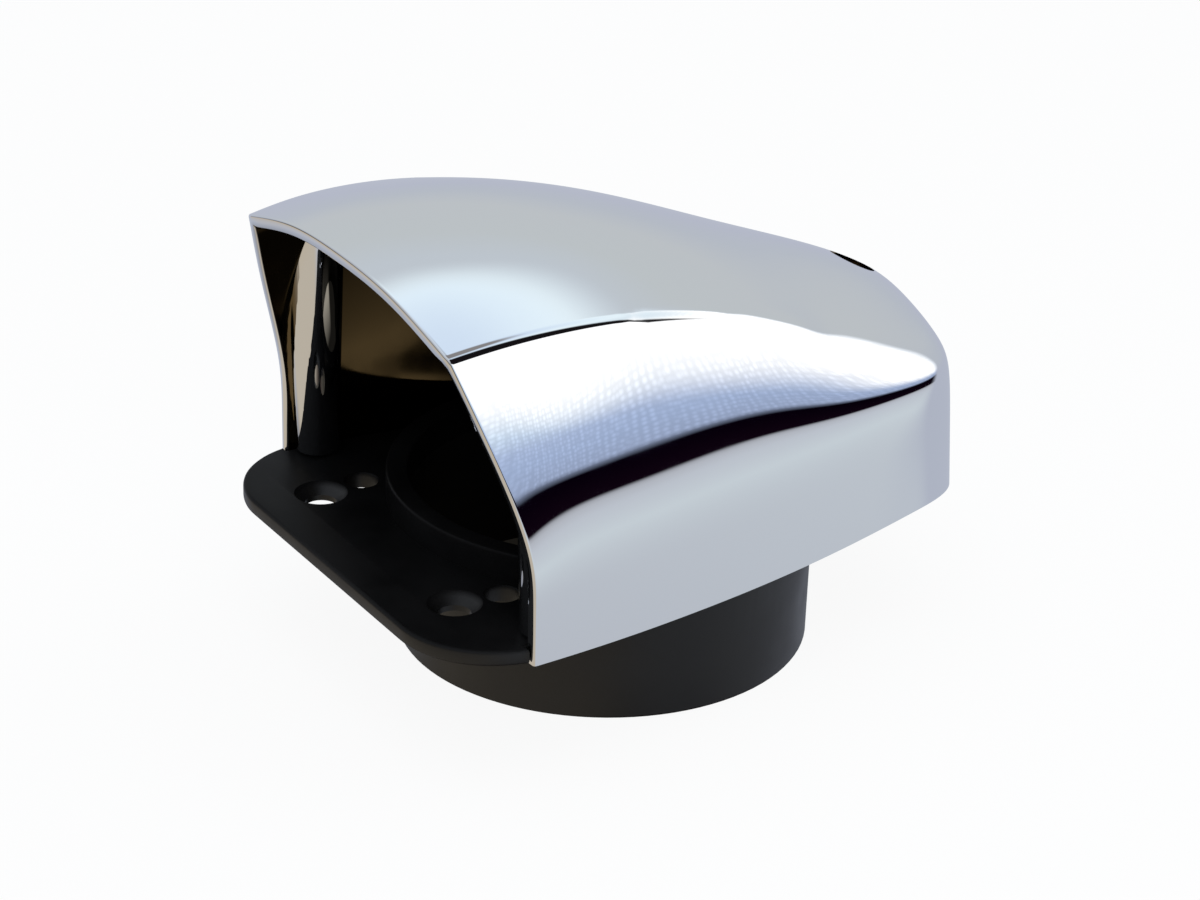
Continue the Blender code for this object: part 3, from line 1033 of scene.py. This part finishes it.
    def pillar(self, side: Side, core: bpy.types.Object) -> bpy.types.Object:
        """A pillar inside the mouth, half in the wall and wider towards the roof.

        Args:
            side: the pillar's side.
            core: the solid that trims it inside the wall.

        Returns:
            The pillar.
        """
        spread = (self.height - self.pillar_foot_z) * math.tan(self.pillar_draft)
        profile = [
            (0.0, self.height),
            (self.pillar_radius + spread, self.height),
            (self.pillar_radius, self.pillar_foot_z + self.foot_round),
            (self.pillar_radius - self.foot_round, self.pillar_foot_z),
            (0.0, self.pillar_foot_z),
        ]
        place = (side.value * self.pillar_x, self.pillar_y, 0.0)
        post = self.workshop.turned(f"pillar_{side.word}", profile, place, Workshop.POST_STEPS)
        self.workshop.combine(post, core, Cut.KEEP)
        return post

    def boss(self, core: bpy.types.Object) -> bpy.types.Object:
        """The boss that hangs from the roof round the rear screw.

        Args:
            core: the solid that trims it inside the wall.

        Returns:
            The boss.
        """
        bottom = self.rear_seat_z - self.rear_boss_floor
        profile = [(0.0, self.height), (self.rear_boss_radius, self.height)]
        edge = self.foot_round
        profile += arc((self.rear_boss_radius - edge, bottom + edge), edge, 0.0, -90.0, 3)
        profile.append((0.0, bottom))
        place = (0.0, self.rear_screw_y, 0.0)
        boss = self.workshop.turned("rear_boss", profile, place, Workshop.POST_STEPS)
        self.workshop.combine(boss, core, Cut.KEEP)
        return boss

    def rear_cutter(self) -> bpy.types.Object:
        """Cutter for the rear screw's recess and its bore.

        Returns:
            The cutter.
        """
        bottom = self.rear_seat_z - 2 * self.rear_boss_floor
        profile = [
            (0.0, self.height),
            (self.rear_recess_radius, self.height),
            (self.rear_recess_radius, self.rear_seat_z),
            (self.rear_bore_radius, self.rear_seat_z),
            (self.rear_bore_radius, bottom),
            (0.0, bottom),
        ]
        place = (0.0, self.rear_screw_y, 0.0)
        turned = self.workshop.turned("rear_recess_turned", profile, place, Workshop.POST_STEPS)
        mesh = self.workshop.shaped(turned)
        # the recess walls take the same darkened chrome, painted shade of the recess
        for face in mesh.polygons:
            face.material_index = 1
        cutter = self.workshop.hold("rear_recess", mesh)
        cutter.location = turned.location
        return cutter

    def build(self, outside: bpy.types.Material, inside: bpy.types.Material,
              place: Place) -> bpy.types.Object:
        """Build the whole cowl.

        Args:
            outside: the chrome of the skin, the rim and the pillars.
            inside: the chrome of the hollow and the rear recess, darkened and warmed as painted shade.
            place: where the vent stands.

        Returns:
            The cowl.
        """
        cowl = self.walled()
        for material in (outside, inside):
            cowl.data.materials.append(material)
        core = self.core()
        for side in Side:
            self.workshop.combine(cowl, self.pillar(side, core), Cut.JOIN)
        self.workshop.combine(cowl, self.boss(core), Cut.JOIN)
        reach = 4 * self.mouth_half_width
        below = self.workshop.block("below_deck", (-reach, -reach, -4 * self.foot_spare), (reach, reach, 0.0))
        self.workshop.combine(cowl, below, Cut.REMOVE)
        bore_x, bore_radius, bore_depth = self.pillar_bore
        for side in Side:
            profile = [(0.0, bore_depth), (bore_radius, bore_depth), (bore_radius, 0.0), (0.0, 0.0)]
            place_in_cowl = (side.value * bore_x, self.pillar_y, 0.0)
            bore = self.workshop.turned(
                f"pillar_bore_{side.word}", profile, place_in_cowl, Workshop.BORE_STEPS)
            self.workshop.combine(cowl, bore, Cut.REMOVE)
        self.workshop.combine(cowl, self.rear_cutter(), Cut.REMOVE)
        mesh = self.workshop.shaped(cowl)
        self.workshop.clear()
        piece = Piece("chrome_cowl", "cowl_shell", Slot.CHROME, self.sharp_angle)
        return piece.add(mesh, [outside, inside], place)


@dataclass
class BasePlate:
    """The black base plate with its lip, collar, spigot, rear post and holes."""

    cowl: CowlShell
    thickness: float = 0.003
    lip_reach: float = 0.0572
    lip_half_width: float = 0.045
    lip_corner: float = 0.0178
    edge_round: float = 0.0006
    gap: float = 0.0003
    spigot_radius: float = 0.038
    spigot_wall: float = 0.0025
    spigot_length: float = 0.023
    spigot_draft: float = 0.0004
    collar_step: float = 0.0016
    collar_height: float = 0.0053
    rim_round: float = 0.0005
    deck_hole: tuple[float, float] = (0.0245, -0.045)
    deck_hole_radius: float = 0.0029
    deck_hole_head: float = 0.00485
    drain_hole: tuple[float, float] = (0.0255, -0.0362)
    drain_radius: float = 0.00305
    drain_round: float = 0.0002
    screw_hole: tuple[float, float] = (0.0394, -0.0371)
    screw_radius: float = 0.00175
    screw_head: float = 0.0031
    screw_land: float = 0.0004
    post_radius: float = 0.00475
    pilot_radius: float = 0.0024
    pilot_depth: float = 0.0165
    over: float = 0.001
    workshop: Workshop = field(default_factory=Workshop)

    def outline(self) -> list[Vector]:
        """The plate's outline: the lip in front, then inside the cowl's wall.

        Returns:
            The points, round the plate.
        """
        arc_steps = 24
        step_y = self.cowl.mouth_y - self.gap
        centre = Vector((self.lip_half_width - self.lip_corner, self.lip_corner - self.lip_reach, 0.0))
        right = []
        for step in range(arc_steps + 1):
            angle = math.radians(-90) + step / arc_steps * math.radians(90)
            point = centre + self.lip_corner * Vector((math.cos(angle), math.sin(angle), 0.0))
            if point.y < step_y:
                right.append(point)
        right.append(Vector((self.lip_half_width, step_y, 0.0)))
        inner = self.cowl.footprint(self.cowl.wall + self.gap)
        right.append(Vector((inner[0].x, step_y, 0.0)))
        right += inner[1:]
        left = [Vector((-point.x, point.y, 0.0)) for point in reversed(right) if point.x > 1e-6]
        return right + left

    def slab(self, name: str, height: float, rounding: float) -> bpy.types.Object:
        """A slab of the plate's outline that stands on the deck face.

        Args:
            name: the object's name.
            height: the slab's thickness.
            rounding: the radius of its edges.

        Returns:
            The slab.
        """
        curve = bpy.data.curves.new(name, "CURVE")
        curve.dimensions = "2D"
        curve.fill_mode = "BOTH"
        curve.extrude = height / 2 - rounding
        curve.bevel_depth = rounding
        curve.bevel_resolution = 2
        curve.offset = -rounding
        points = self.outline()
        line = curve.splines.new("POLY")
        line.points.add(len(points) - 1)
        for knot, point in zip(line.points, points):
            knot.co = (point.x, point.y, 0.0, 1.0)
        line.use_cyclic_u = True
        drawn = bpy.data.objects.new(name, curve)
        bpy.context.scene.collection.objects.link(drawn)
        mesh = self.workshop.shaped(drawn)
        bpy.data.objects.remove(drawn, do_unlink=True)
        shape = bmesh.new()
        shape.from_mesh(mesh)
        bmesh.ops.remove_doubles(shape, verts=shape.verts, dist=0.00001)
        bmesh.ops.translate(shape, verts=shape.verts, vec=(0.0, 0.0, height / 2))
        bmesh.ops.recalc_face_normals(shape, faces=shape.faces)
        shape.to_mesh(mesh)
        shape.free()
        return self.workshop.hold(name, mesh)

    def spigot(self) -> bpy.types.Object:
        """The ring below the plate that the hose slides over.

        Returns:
            The ring.
        """
        inner = self.spigot_radius - self.spigot_wall
        end = self.spigot_radius - self.spigot_draft
        radius = self.rim_round
        foot = -self.spigot_length
        profile = [(inner, self.thickness / 2), (self.spigot_radius, self.thickness / 2)]
        profile += arc((end - radius, foot + radius), radius, 0.0, -90.0)
        profile += arc((inner + radius, foot + radius), radius, -90.0, -180.0)
        return self.workshop.turned("spigot", profile)

    def collar(self) -> bpy.types.Object:
        """The raised ring on the plate, cut flat where the side walls pass it.

        Returns:
            The ring.
        """
        outer = self.spigot_radius + self.collar_step
        inner = self.spigot_radius - self.spigot_wall
        top = self.thickness + self.collar_height
        radius = self.rim_round
        profile = arc((inner + radius, top - radius), radius, 180.0, 90.0)
        profile += arc((outer - radius, top - radius), radius, 90.0, 0.0)
        profile += [(outer, self.thickness / 2), (inner, self.thickness / 2)]
        ring = self.workshop.turned("collar", profile)
        self.workshop.combine(ring, self.slab("room_inside", 2 * top, 0.0), Cut.KEEP)
        return ring

    def post(self) -> bpy.types.Object:
        """The post that the rear screw bites into.

        Returns:
            The post.
        """
        top = self.cowl.rear_seat_z - self.cowl.rear_boss_floor - self.gap
        profile = [(0.0, top)]
        profile += arc((self.post_radius - self.rim_round, top - self.rim_round), self.rim_round, 90.0, 0.0)
        profile += [(self.post_radius, self.thickness / 2), (0.0, self.thickness / 2)]
        return self.upright("post", (0.0, self.cowl.rear_screw_y), profile)

    def upright(self, name: str, place: tuple[float, float], profile: Profile) -> bpy.types.Object:
        """A turned post or cutter at a place on the plate.

        Args:
            name: the solid's name.
            place: its x and y.
            profile: pairs of radius and height.

        Returns:
            The solid.
        """
        return self.workshop.turned(name, profile, (*place, 0.0), Workshop.POST_STEPS)

    def cutters(self) -> Iterable[bpy.types.Object]:
        """Every hole of the plate.

        Yields:
            The cutters one by one.
        """
        above = self.thickness + self.over
        below = -self.over
        throat = self.spigot_radius - self.spigot_wall / 2
        yield self.upright("throat", (0.0, 0.0), [
            (0.0, above),
            (throat, above),
            (throat, below),
            (0.0, below),
        ])
        sink = self.thickness - (self.deck_hole_head - self.deck_hole_radius)
        for side in Side:
            deck_hole, drain_hole, screw_hole = (
                (side.value * x, y) for x, y in (self.deck_hole, self.drain_hole, self.screw_hole))
            yield self.upright(f"deck_hole_{side.word}", deck_hole, [
                (0.0, above),
                (self.deck_hole_head + self.over, above),
                (self.deck_hole_radius, sink),
                (self.deck_hole_radius, below),
                (0.0, below),
            ])
            yield self.upright(f"drain_{side.word}", drain_hole, [
                (0.0, above),
                (self.drain_radius + self.over + self.drain_round, above),
                (self.drain_radius, self.thickness - self.drain_round),
                (self.drain_radius, below),
                (0.0, below),
            ])
            yield self.upright(f"screw_seat_{side.word}", screw_hole, [
                (0.0, above),
                (self.screw_radius, above),
                (self.screw_radius, self.screw_land + self.screw_head - self.screw_radius),
                (self.screw_head, self.screw_land),
                (self.screw_head, below),
                (0.0, below),
            ])

    def build(self, material: bpy.types.Material, place: Place) -> bpy.types.Object:
        """Build the whole plate.

        Args:
            material: the plastic.
            place: where the vent stands.

        Returns:
            The plate.
        """
        plate = self.slab("plate", self.thickness, self.edge_round)
        holes = list(self.cutters())
        self.workshop.combine(plate, holes[0], Cut.REMOVE)
        self.workshop.combine(plate, self.spigot(), Cut.JOIN)
        self.workshop.combine(plate, self.collar(), Cut.JOIN)
        self.workshop.combine(plate, self.post(), Cut.JOIN)
        for hole in holes[1:]:
            self.workshop.combine(plate, hole, Cut.REMOVE)
        top = self.cowl.rear_seat_z
        bottom = top - self.cowl.rear_boss_floor - self.pilot_depth
        pilot = self.upright("pilot", (0.0, self.cowl.rear_screw_y), [
            (0.0, top),
            (self.pilot_radius, top),
            (self.pilot_radius, bottom),
            (0.0, bottom),
        ])
        self.workshop.combine(plate, pilot, Cut.REMOVE)
        mesh = self.workshop.shaped(plate)
        self.workshop.clear()
        return Piece("moulded_base_plate", "base_plate", Slot.PLASTIC).add(mesh, [material], place)


@dataclass
class CowlScrew:
    """A thread-forming screw with a cross recess, built with its head up at z = 0."""

    name: str
    node: str
    head_radius: float
    shank_radius: float
    length: float
    head_top: list[tuple[float, float]]
    head_foot: list[tuple[float, float]]
    thread_from: float
    pitch: float = 0.0011
    thread_height: float = 0.0003
    recess_depth: float = 0.0011
    tip_share: float = 0.25
    blade_reach: float = 0.58
    blade_half_width: float = 0.11
    blade_taper: float = 0.35
    blade_over: float = 0.001
    steps_a_turn: int = 20
    fade_steps: int = 8
    sharp_angle: float = 40.0
    workshop: Workshop = field(default_factory=Workshop)

    def body(self) -> bpy.types.Object:
        """Head and core as one turned solid.

        Returns:
            The solid.
        """
        core = self.shank_radius - self.thread_height
        tip = -self.length
        profile = self.head_top + self.head_foot
        profile += [(core, tip + 2 * core), (core * self.tip_share, tip), (0.0, tip)]
        return self.workshop.turned(f"{self.name}_body", profile, steps=Workshop.SCREW_STEPS)

    def recess(self) -> list[bpy.types.Object]:
        """The two tapered blades that cut the cross recess.

        Returns:
            The blades.
        """
        reach = self.head_radius * self.blade_reach
        half = self.head_radius * self.blade_half_width
        blades = []
        for turn in (0.0, 90.0):
            blade = self.workshop.block(
                f"{self.name}_blade", (-reach, -half, -self.recess_depth), (reach, half, self.blade_over))
            for vert in blade.data.vertices:
                if vert.co.z < 0.0:
                    vert.co.x *= self.blade_taper
            blade.rotation_euler.z = math.radians(turn)
            blades.append(blade)
        return blades

    def thread(self) -> bpy.types.Object:
        """The thread's ridge, a three-sided helix that runs out at both ends.

        Returns:
            The ridge.
        """
        core = self.shank_radius - self.thread_height
        root = core * 0.94
        lowest_crest = core * 0.96
        climb = self.thread_height * 1.1 + core * 0.04
        least_climb = 0.02
        half_ridge = 0.3
        plain_tip = 2.2 * core
        turns = (self.length - plain_tip - self.thread_from) / self.pitch
        count = int(turns * self.steps_a_turn)
        shape = bmesh.new()
        rings = []
        for step in range(count + 1):
            angle = math.tau * step / self.steps_a_turn
            z = -self.thread_from - self.pitch * step / self.steps_a_turn
            fade = min(1.0, step / self.fade_steps, (count - step) / self.fade_steps)
            crest = lowest_crest + climb * max(fade, least_climb)
            section = ((root, half_ridge), (crest, 0.0), (root, -half_ridge))
            rings.append([
                shape.verts.new((radius * math.cos(angle), radius * math.sin(angle), z + rise * self.pitch))
                for radius, rise in section
            ])
        for ring, following in zip(rings, rings[1:]):
            for corner in range(3):
                beyond = (corner + 1) % 3
                shape.faces.new((ring[corner], ring[beyond], following[beyond], following[corner]))
        shape.faces.new(rings[0])
        shape.faces.new(rings[-1])
        bmesh.ops.recalc_face_normals(shape, faces=shape.faces)
        mesh = bpy.data.meshes.new(f"{self.name}_thread")
        shape.to_mesh(mesh)
        shape.free()
        return self.workshop.hold(f"{self.name}_thread", mesh)

    def build(self, material: bpy.types.Material, place: Place, seat: Sequence[float],
              from_below: bool) -> bpy.types.Object:
        """Build the screw and seat it.

        Args:
            material: the steel.
            place: where the vent stands.
            seat: the middle of the head's outer face, from the spigot's axis and deck.
            from_below: the screw points up.

        Returns:
            The screw.
        """
        body = self.body()
        for blade in self.recess():
            self.workshop.combine(body, blade, Cut.REMOVE)
        self.workshop.combine(body, self.thread(), Cut.JOIN)
        mesh = self.workshop.shaped(body)
        self.workshop.clear()
        turn = Matrix.Rotation(math.pi, 4, "X") if from_below else Matrix.Identity(4)
        mesh.transform(Matrix.Translation(Vector(seat)) @ turn)
        return Piece(self.name, self.node, Slot.STEEL, self.sharp_angle).add(mesh, [material], place)


def pillar_screw(side: Side) -> CowlScrew:
    """The countersunk screw of one pillar.

    Args:
        side: the pillar's side.

    Returns:
        The screw, not yet built.
    """
    head = 0.0028
    shank = 0.00145
    land = 0.0002
    edge = 0.0001
    thread = CowlScrew.thread_height
    return CowlScrew(
        name=f"countersunk_screw_{side.word}",
        node=f"pillar_screw_{side.word}",
        head_radius=head,
        shank_radius=shank,
        length=0.0118,
        head_top=[(0.0, 0.0), (head - edge, 0.0), (head, -edge)],
        head_foot=[(head, -land), (shank - thread, -land - head + shank - thread)],
        thread_from=0.0026,
    )


def rear_screw() -> CowlScrew:
    """The pan-head screw at the rear.

    Returns:
        The screw, not yet built.
    """
    head = 0.0038
    shank = 0.0021
    dome_steps = 8
    dome_fullness = 0.75
    dome_share = 0.62
    dome = [(0.0, 0.0)]
    for step in range(1, dome_steps + 1):
        angle = math.radians(90 - step * 90 / dome_steps)
        fall = -dome_share * PAN_HEAD_HEIGHT * (1 - math.sin(angle))
        dome.append((head * math.cos(angle) ** dome_fullness, fall))
    return CowlScrew(
        name="pan_head_screw",
        node="rear_cowl_screw",
        head_radius=head,
        shank_radius=shank,
        length=0.0225,
        head_top=dome,
        head_foot=[(head, -PAN_HEAD_HEIGHT), (shank - CowlScrew.thread_height, -PAN_HEAD_HEIGHT)],
        thread_from=0.0045,
        pitch=0.0016,
        recess_depth=0.0017,
    )


@dataclass(frozen=True)
class Part:
    """A part of the surroundings, which begins softly at a height along an axis."""

    axis: tuple[float, float, float]
    start: float
    end: float

    def share(self, sheet: NodeSheet, ray: bpy.types.NodeSocket) -> bpy.types.NodeSocket:
        """Measure how far a direction is inside the part.

        Args:
            sheet: the world's node sheet.
            ray: the direction's socket.

        Returns:
            The share, from 0 outside to 1 inside.
        """
        return sheet.remap(sheet.along(ray, self.axis), 0.0, 1.0, self.start, self.end, smooth=True)


@dataclass(frozen=True)
class Lamp:
    """A soft square lamp that reflections and the camera don't show."""

    name: str
    place: tuple[float, float, float]
    size: float
    power: float

    def hang(self, aim: Vector) -> None:
        """Add the lamp to the scene.

        Args:
            aim: the point that it faces.
        """
        light = bpy.data.lights.new(self.name, "AREA")
        light.size = self.size
        light.energy = self.power
        item = bpy.data.objects.new(self.name, light)
        bpy.context.scene.collection.objects.link(item)
        item.location = self.place
        item.rotation_euler = (aim - Vector(self.place)).to_track_quat("-Z", "Y").to_euler()
        item.visible_glossy = False
        item.visible_camera = False


@dataclass
class Studio:
    """Floor, surroundings, lamps and camera.

    The four sides are ramps of colour over the elevation in degrees.  At least
    the near and far colours come from the photograph's reflections, sorted by
    direction, and all were tuned after that.  The parts are placed so that the
    metal shows them where the photograph does.  Light and reflections see the
    sides; only the camera sees white, and the floor is hidden from reflections.
    """

    camera_place: tuple[float, float, float] = (0.5288, -0.3324, 0.3091)
    azimuth: float = 57.93
    elevation: float = 25.49
    roll: float = 1.36
    lens: float = 115.0
    sensor: float = 36.0
    floor_radius: float = 2.2
    duct_radius: float = 0.0370
    floor_gap: float = 0.0001
    room_strength: float = 1.3
    near_side: Ramp = (
        (-50.0, (0.045, 0.035, 0.030)),
        (-40.0, (0.230, 0.230, 0.240)),
        (-31.0, (0.385, 0.400, 0.445)),
        (-20.5, (0.490, 0.535, 0.565)),
        (-14.5, (0.440, 0.465, 0.510)),
        (-12.0, (0.370, 0.380, 0.415)),
        (-11.7, (0.004, 0.001, 0.004)),
        (-5.7, (0.001, 0.000, 0.002)),
        (-5.5, (0.260, 0.310, 0.440)),
        (-1.5, (0.300, 0.370, 0.530)),
        (1.0, (0.330, 0.400, 0.560)),
        (4.5, (0.510, 0.600, 0.710)),
    )
    far_side: Ramp = (
        (-50.0, (0.045, 0.035, 0.030)),
        (-31.0, (0.370, 0.395, 0.460)),
        (-5.0, (0.380, 0.400, 0.470)),
        (6.0, (0.395, 0.420, 0.465)),
        (16.0, (0.435, 0.455, 0.470)),
        (30.0, (0.440, 0.465, 0.475)),
        (40.0, (0.450, 0.485, 0.520)),
    )
    front_side: Ramp = (
        (-30.0, (0.420, 0.370, 0.300)),
        (-12.0, (0.420, 0.350, 0.250)),
        (-9.0, (0.030, 0.025, 0.020)),
        (-5.0, (0.050, 0.045, 0.040)),
        (12.0, (0.330, 0.340, 0.370)),
        (60.0, (0.480, 0.510, 0.550)),
    )
    above: Ramp = (
        (40.0, (0.640, 0.720, 0.770)),
        (48.0, (0.700, 0.790, 0.830)),
        (56.0, (0.640, 0.735, 0.810)),
        (65.0, (0.545, 0.635, 0.755)),
        (72.0, (0.200, 0.190, 0.190)),
    )
    panel_colour: Colour = (0.950, 0.940, 0.930)
    dark: Colour = (0.006, 0.005, 0.006)
    near_part: Part = Part((1.0, 0.0, 0.43), 0.02, 0.13)
    panel_part: Part = Part((0.0, 0.19, 1.0), 0.118, 0.222)
    overhead_part: Part = Part((0.25, 0.0, 1.0), 0.50, 0.69)
    front_part: Part = Part((0.0, -1.0, 0.0), 0.15, 0.45)
    unlit_parts: tuple[Part, Part] = (Part((0.0, 0.0, 1.0), 0.27, 0.31), Part((1.0, 0.0, 0.0), 0.42, 0.55))
    cell_scale: float = 84.0
    cell_chance: float = 0.35
    cell_glow: tuple[float, float] = (1.22, 0.96)
    cell_edge: tuple[float, float] = (0.1, 0.6)
    cell_from: tuple[float, float] = (-0.100, -0.092)
    lamps: tuple[Lamp, ...] = (
        Lamp("overhead", (0.1, -0.1, 1.4), 1.6, 9.0),
        Lamp("side", (1.0, -0.3, 0.6), 0.7, 5.0),
    )

    def disc(self, name: str, radius: float, place: Sequence[float],
             finish: bpy.types.Material) -> bpy.types.Object:
        """Lay a round floor.

        Args:
            name: the floor's name.
            radius: its radius.
            place: its middle.
            finish: its material.

        Returns:
            The floor.
        """
        mesh = bpy.data.meshes.new(name)
        shape = bmesh.new()
        bmesh.ops.create_circle(shape, cap_ends=True, segments=Workshop.FINE_STEPS, radius=radius)
        shape.to_mesh(mesh)
        shape.free()
        mesh.materials.append(finish)
        item = bpy.data.objects.new(name, mesh)
        bpy.context.scene.collection.objects.link(item)
        item.location = place
        return item

    def surroundings(self) -> None:
        """Set the world: white to the camera, and the studio's sides and parts to everything else."""
        world = bpy.data.worlds.new("studio")
        bpy.context.scene.world = world
        world.use_nodes = True
        sheet = NodeSheet(world.node_tree)
        ray = sheet.add("ShaderNodeTexCoord").outputs["Generated"]
        height = sheet.along(ray, (0.0, 0.0, 1.0))
        rise = sheet.math("ARCSINE", height)
        place = sheet.remap(rise, 0.0, 1.0, -math.pi / 2, math.pi / 2)
        near, far, front, above = (
            sheet.ramp(place, [((90.0 + degrees) / 180.0, colour) for degrees, colour in side])
            for side in (self.near_side, self.far_side, self.front_side, self.above)
        )
        nearness = self.near_part.share(sheet, ray)
        room = sheet.mix(nearness, far, near)
        panel = sheet.math("MULTIPLY", self.panel_part.share(sheet, ray), nearness)
        room = sheet.mix(panel, room, (*self.panel_colour, 1.0))
        cells = sheet.add("ShaderNodeTexVoronoi")
        sheet.feed(cells.inputs["Vector"], ray)
        sheet.feed(cells.inputs["Scale"], self.cell_scale)
        sheet.feed(cells.inputs["Randomness"], self.cell_chance)
        glow = sheet.add("ShaderNodeVectorMath", operation="SCALE")
        sheet.feed(glow.inputs[0], room)
        gain = sheet.remap(cells.outputs["Distance"], *self.cell_glow, *self.cell_edge)
        sheet.feed(glow.inputs["Scale"], gain)
        celled = sheet.math("MULTIPLY", nearness, sheet.remap(height, 0.0, 1.0, *self.cell_from))
        room = sheet.mix(celled, room, glow.outputs[0])
        room = sheet.mix(self.overhead_part.share(sheet, ray), room, above)
        unlit = sheet.math("MULTIPLY", *(part.share(sheet, ray) for part in self.unlit_parts))
        room = sheet.mix(unlit, room, (*self.dark, 1.0))
        room = sheet.mix(self.front_part.share(sheet, ray), room, front)
        path = sheet.add("ShaderNodeLightPath")
        colour = sheet.mix(path.outputs["Is Camera Ray"], room, (1.0, 1.0, 1.0, 1.0))
        background = sheet.add("ShaderNodeBackground")
        sheet.feed(background.inputs["Color"], colour)
        strength = sheet.remap(path.outputs["Is Camera Ray"], self.room_strength, 1.0)
        sheet.feed(background.inputs["Strength"], strength)
        sheet.finish(background, "ShaderNodeOutputWorld")

    def camera(self, place: Place) -> None:
        """Set up the camera at the photograph's viewing angle.

        Args:
            place: where the vent stands.
        """
        data = bpy.data.cameras.new("camera")
        data.lens = self.lens
        data.sensor_fit = "HORIZONTAL"
        data.sensor_width = self.sensor
        item = bpy.data.objects.new("camera", data)
        bpy.context.scene.collection.objects.link(item)
        azimuth = math.radians(self.azimuth)
        elevation = math.radians(self.elevation)
        ahead = Vector((
            -math.sin(azimuth) * math.cos(elevation),
            math.cos(azimuth) * math.cos(elevation),
            -math.sin(elevation),
        ))
        level = Vector((math.cos(azimuth), math.sin(azimuth), 0.0))
        up = level.cross(ahead)
        roll = Matrix.Rotation(math.radians(self.roll), 3, "Z")
        basis = Matrix((level, up, -ahead)).transposed() @ roll
        item.matrix_world = Matrix.Translation(Vector(self.camera_place) + place.point()) @ basis.to_4x4()
        bpy.context.scene.camera = item

    def build(self, place: Place) -> None:
        """Build the studio round the vent.

        Args:
            place: where the vent stands.
        """
        foot = CAD_BOX[0][2]
        floor = self.disc(
            "studio_floor", self.floor_radius, (0.0, 0.0, foot - self.floor_gap), FloorFinish().material())
        floor.visible_glossy = False
        # the disc in the spigot's foot is painted shade with a painted warm glow, which the hollow's chrome
        # also reflects
        self.disc(
            "painted_glow_duct_disc", self.duct_radius, (0.0, place.axis_y, foot - self.floor_gap / 2),
            DuctPaintedGlowFinish().material())
        self.surroundings()
        for lamp in self.lamps:
            lamp.hang(place.point())
        self.camera(place)
        bpy.context.scene.view_settings.view_transform = "Standard"
        LOG.info("studio ready")


def main() -> None:
    """Build every piece in order and the studio round them."""
    logging.basicConfig(level=logging.INFO, format="%(name)s: %(message)s")
    cowl = CowlShell()
    plate = BasePlate(cowl)
    place = Place.from_frame(plate.lip_reach)
    chrome = ChromeFinish().material()
    # the hollow's chrome: its dark warm colour is painted shade of the hollow, and its rougher skin is finish
    hollow_shade_chrome = ChromeFinish(
        colour=(0.17, 0.125, 0.065), name="painted_shade_hollow_chrome", roughness=(0.06, 0.14)).material()
    plastic = MouldedPlasticFinish().material()
    steel = StainlessFinish().material()
    cowl.build(chrome, hollow_shade_chrome, place)
    plate.build(plastic, place)
    for side in Side:
        seat = (side.value * plate.screw_hole[0], plate.screw_hole[1], PILLAR_HEAD_DEPTH)
        pillar_screw(side).build(steel, place, seat, True)
    rear_top = cowl.rear_seat_z + plate.gap + PAN_HEAD_HEIGHT
    rear_screw().build(steel, place, (0.0, cowl.rear_screw_y, rear_top), False)
    Studio().build(place)


if __name__ == "__main__":
    main()
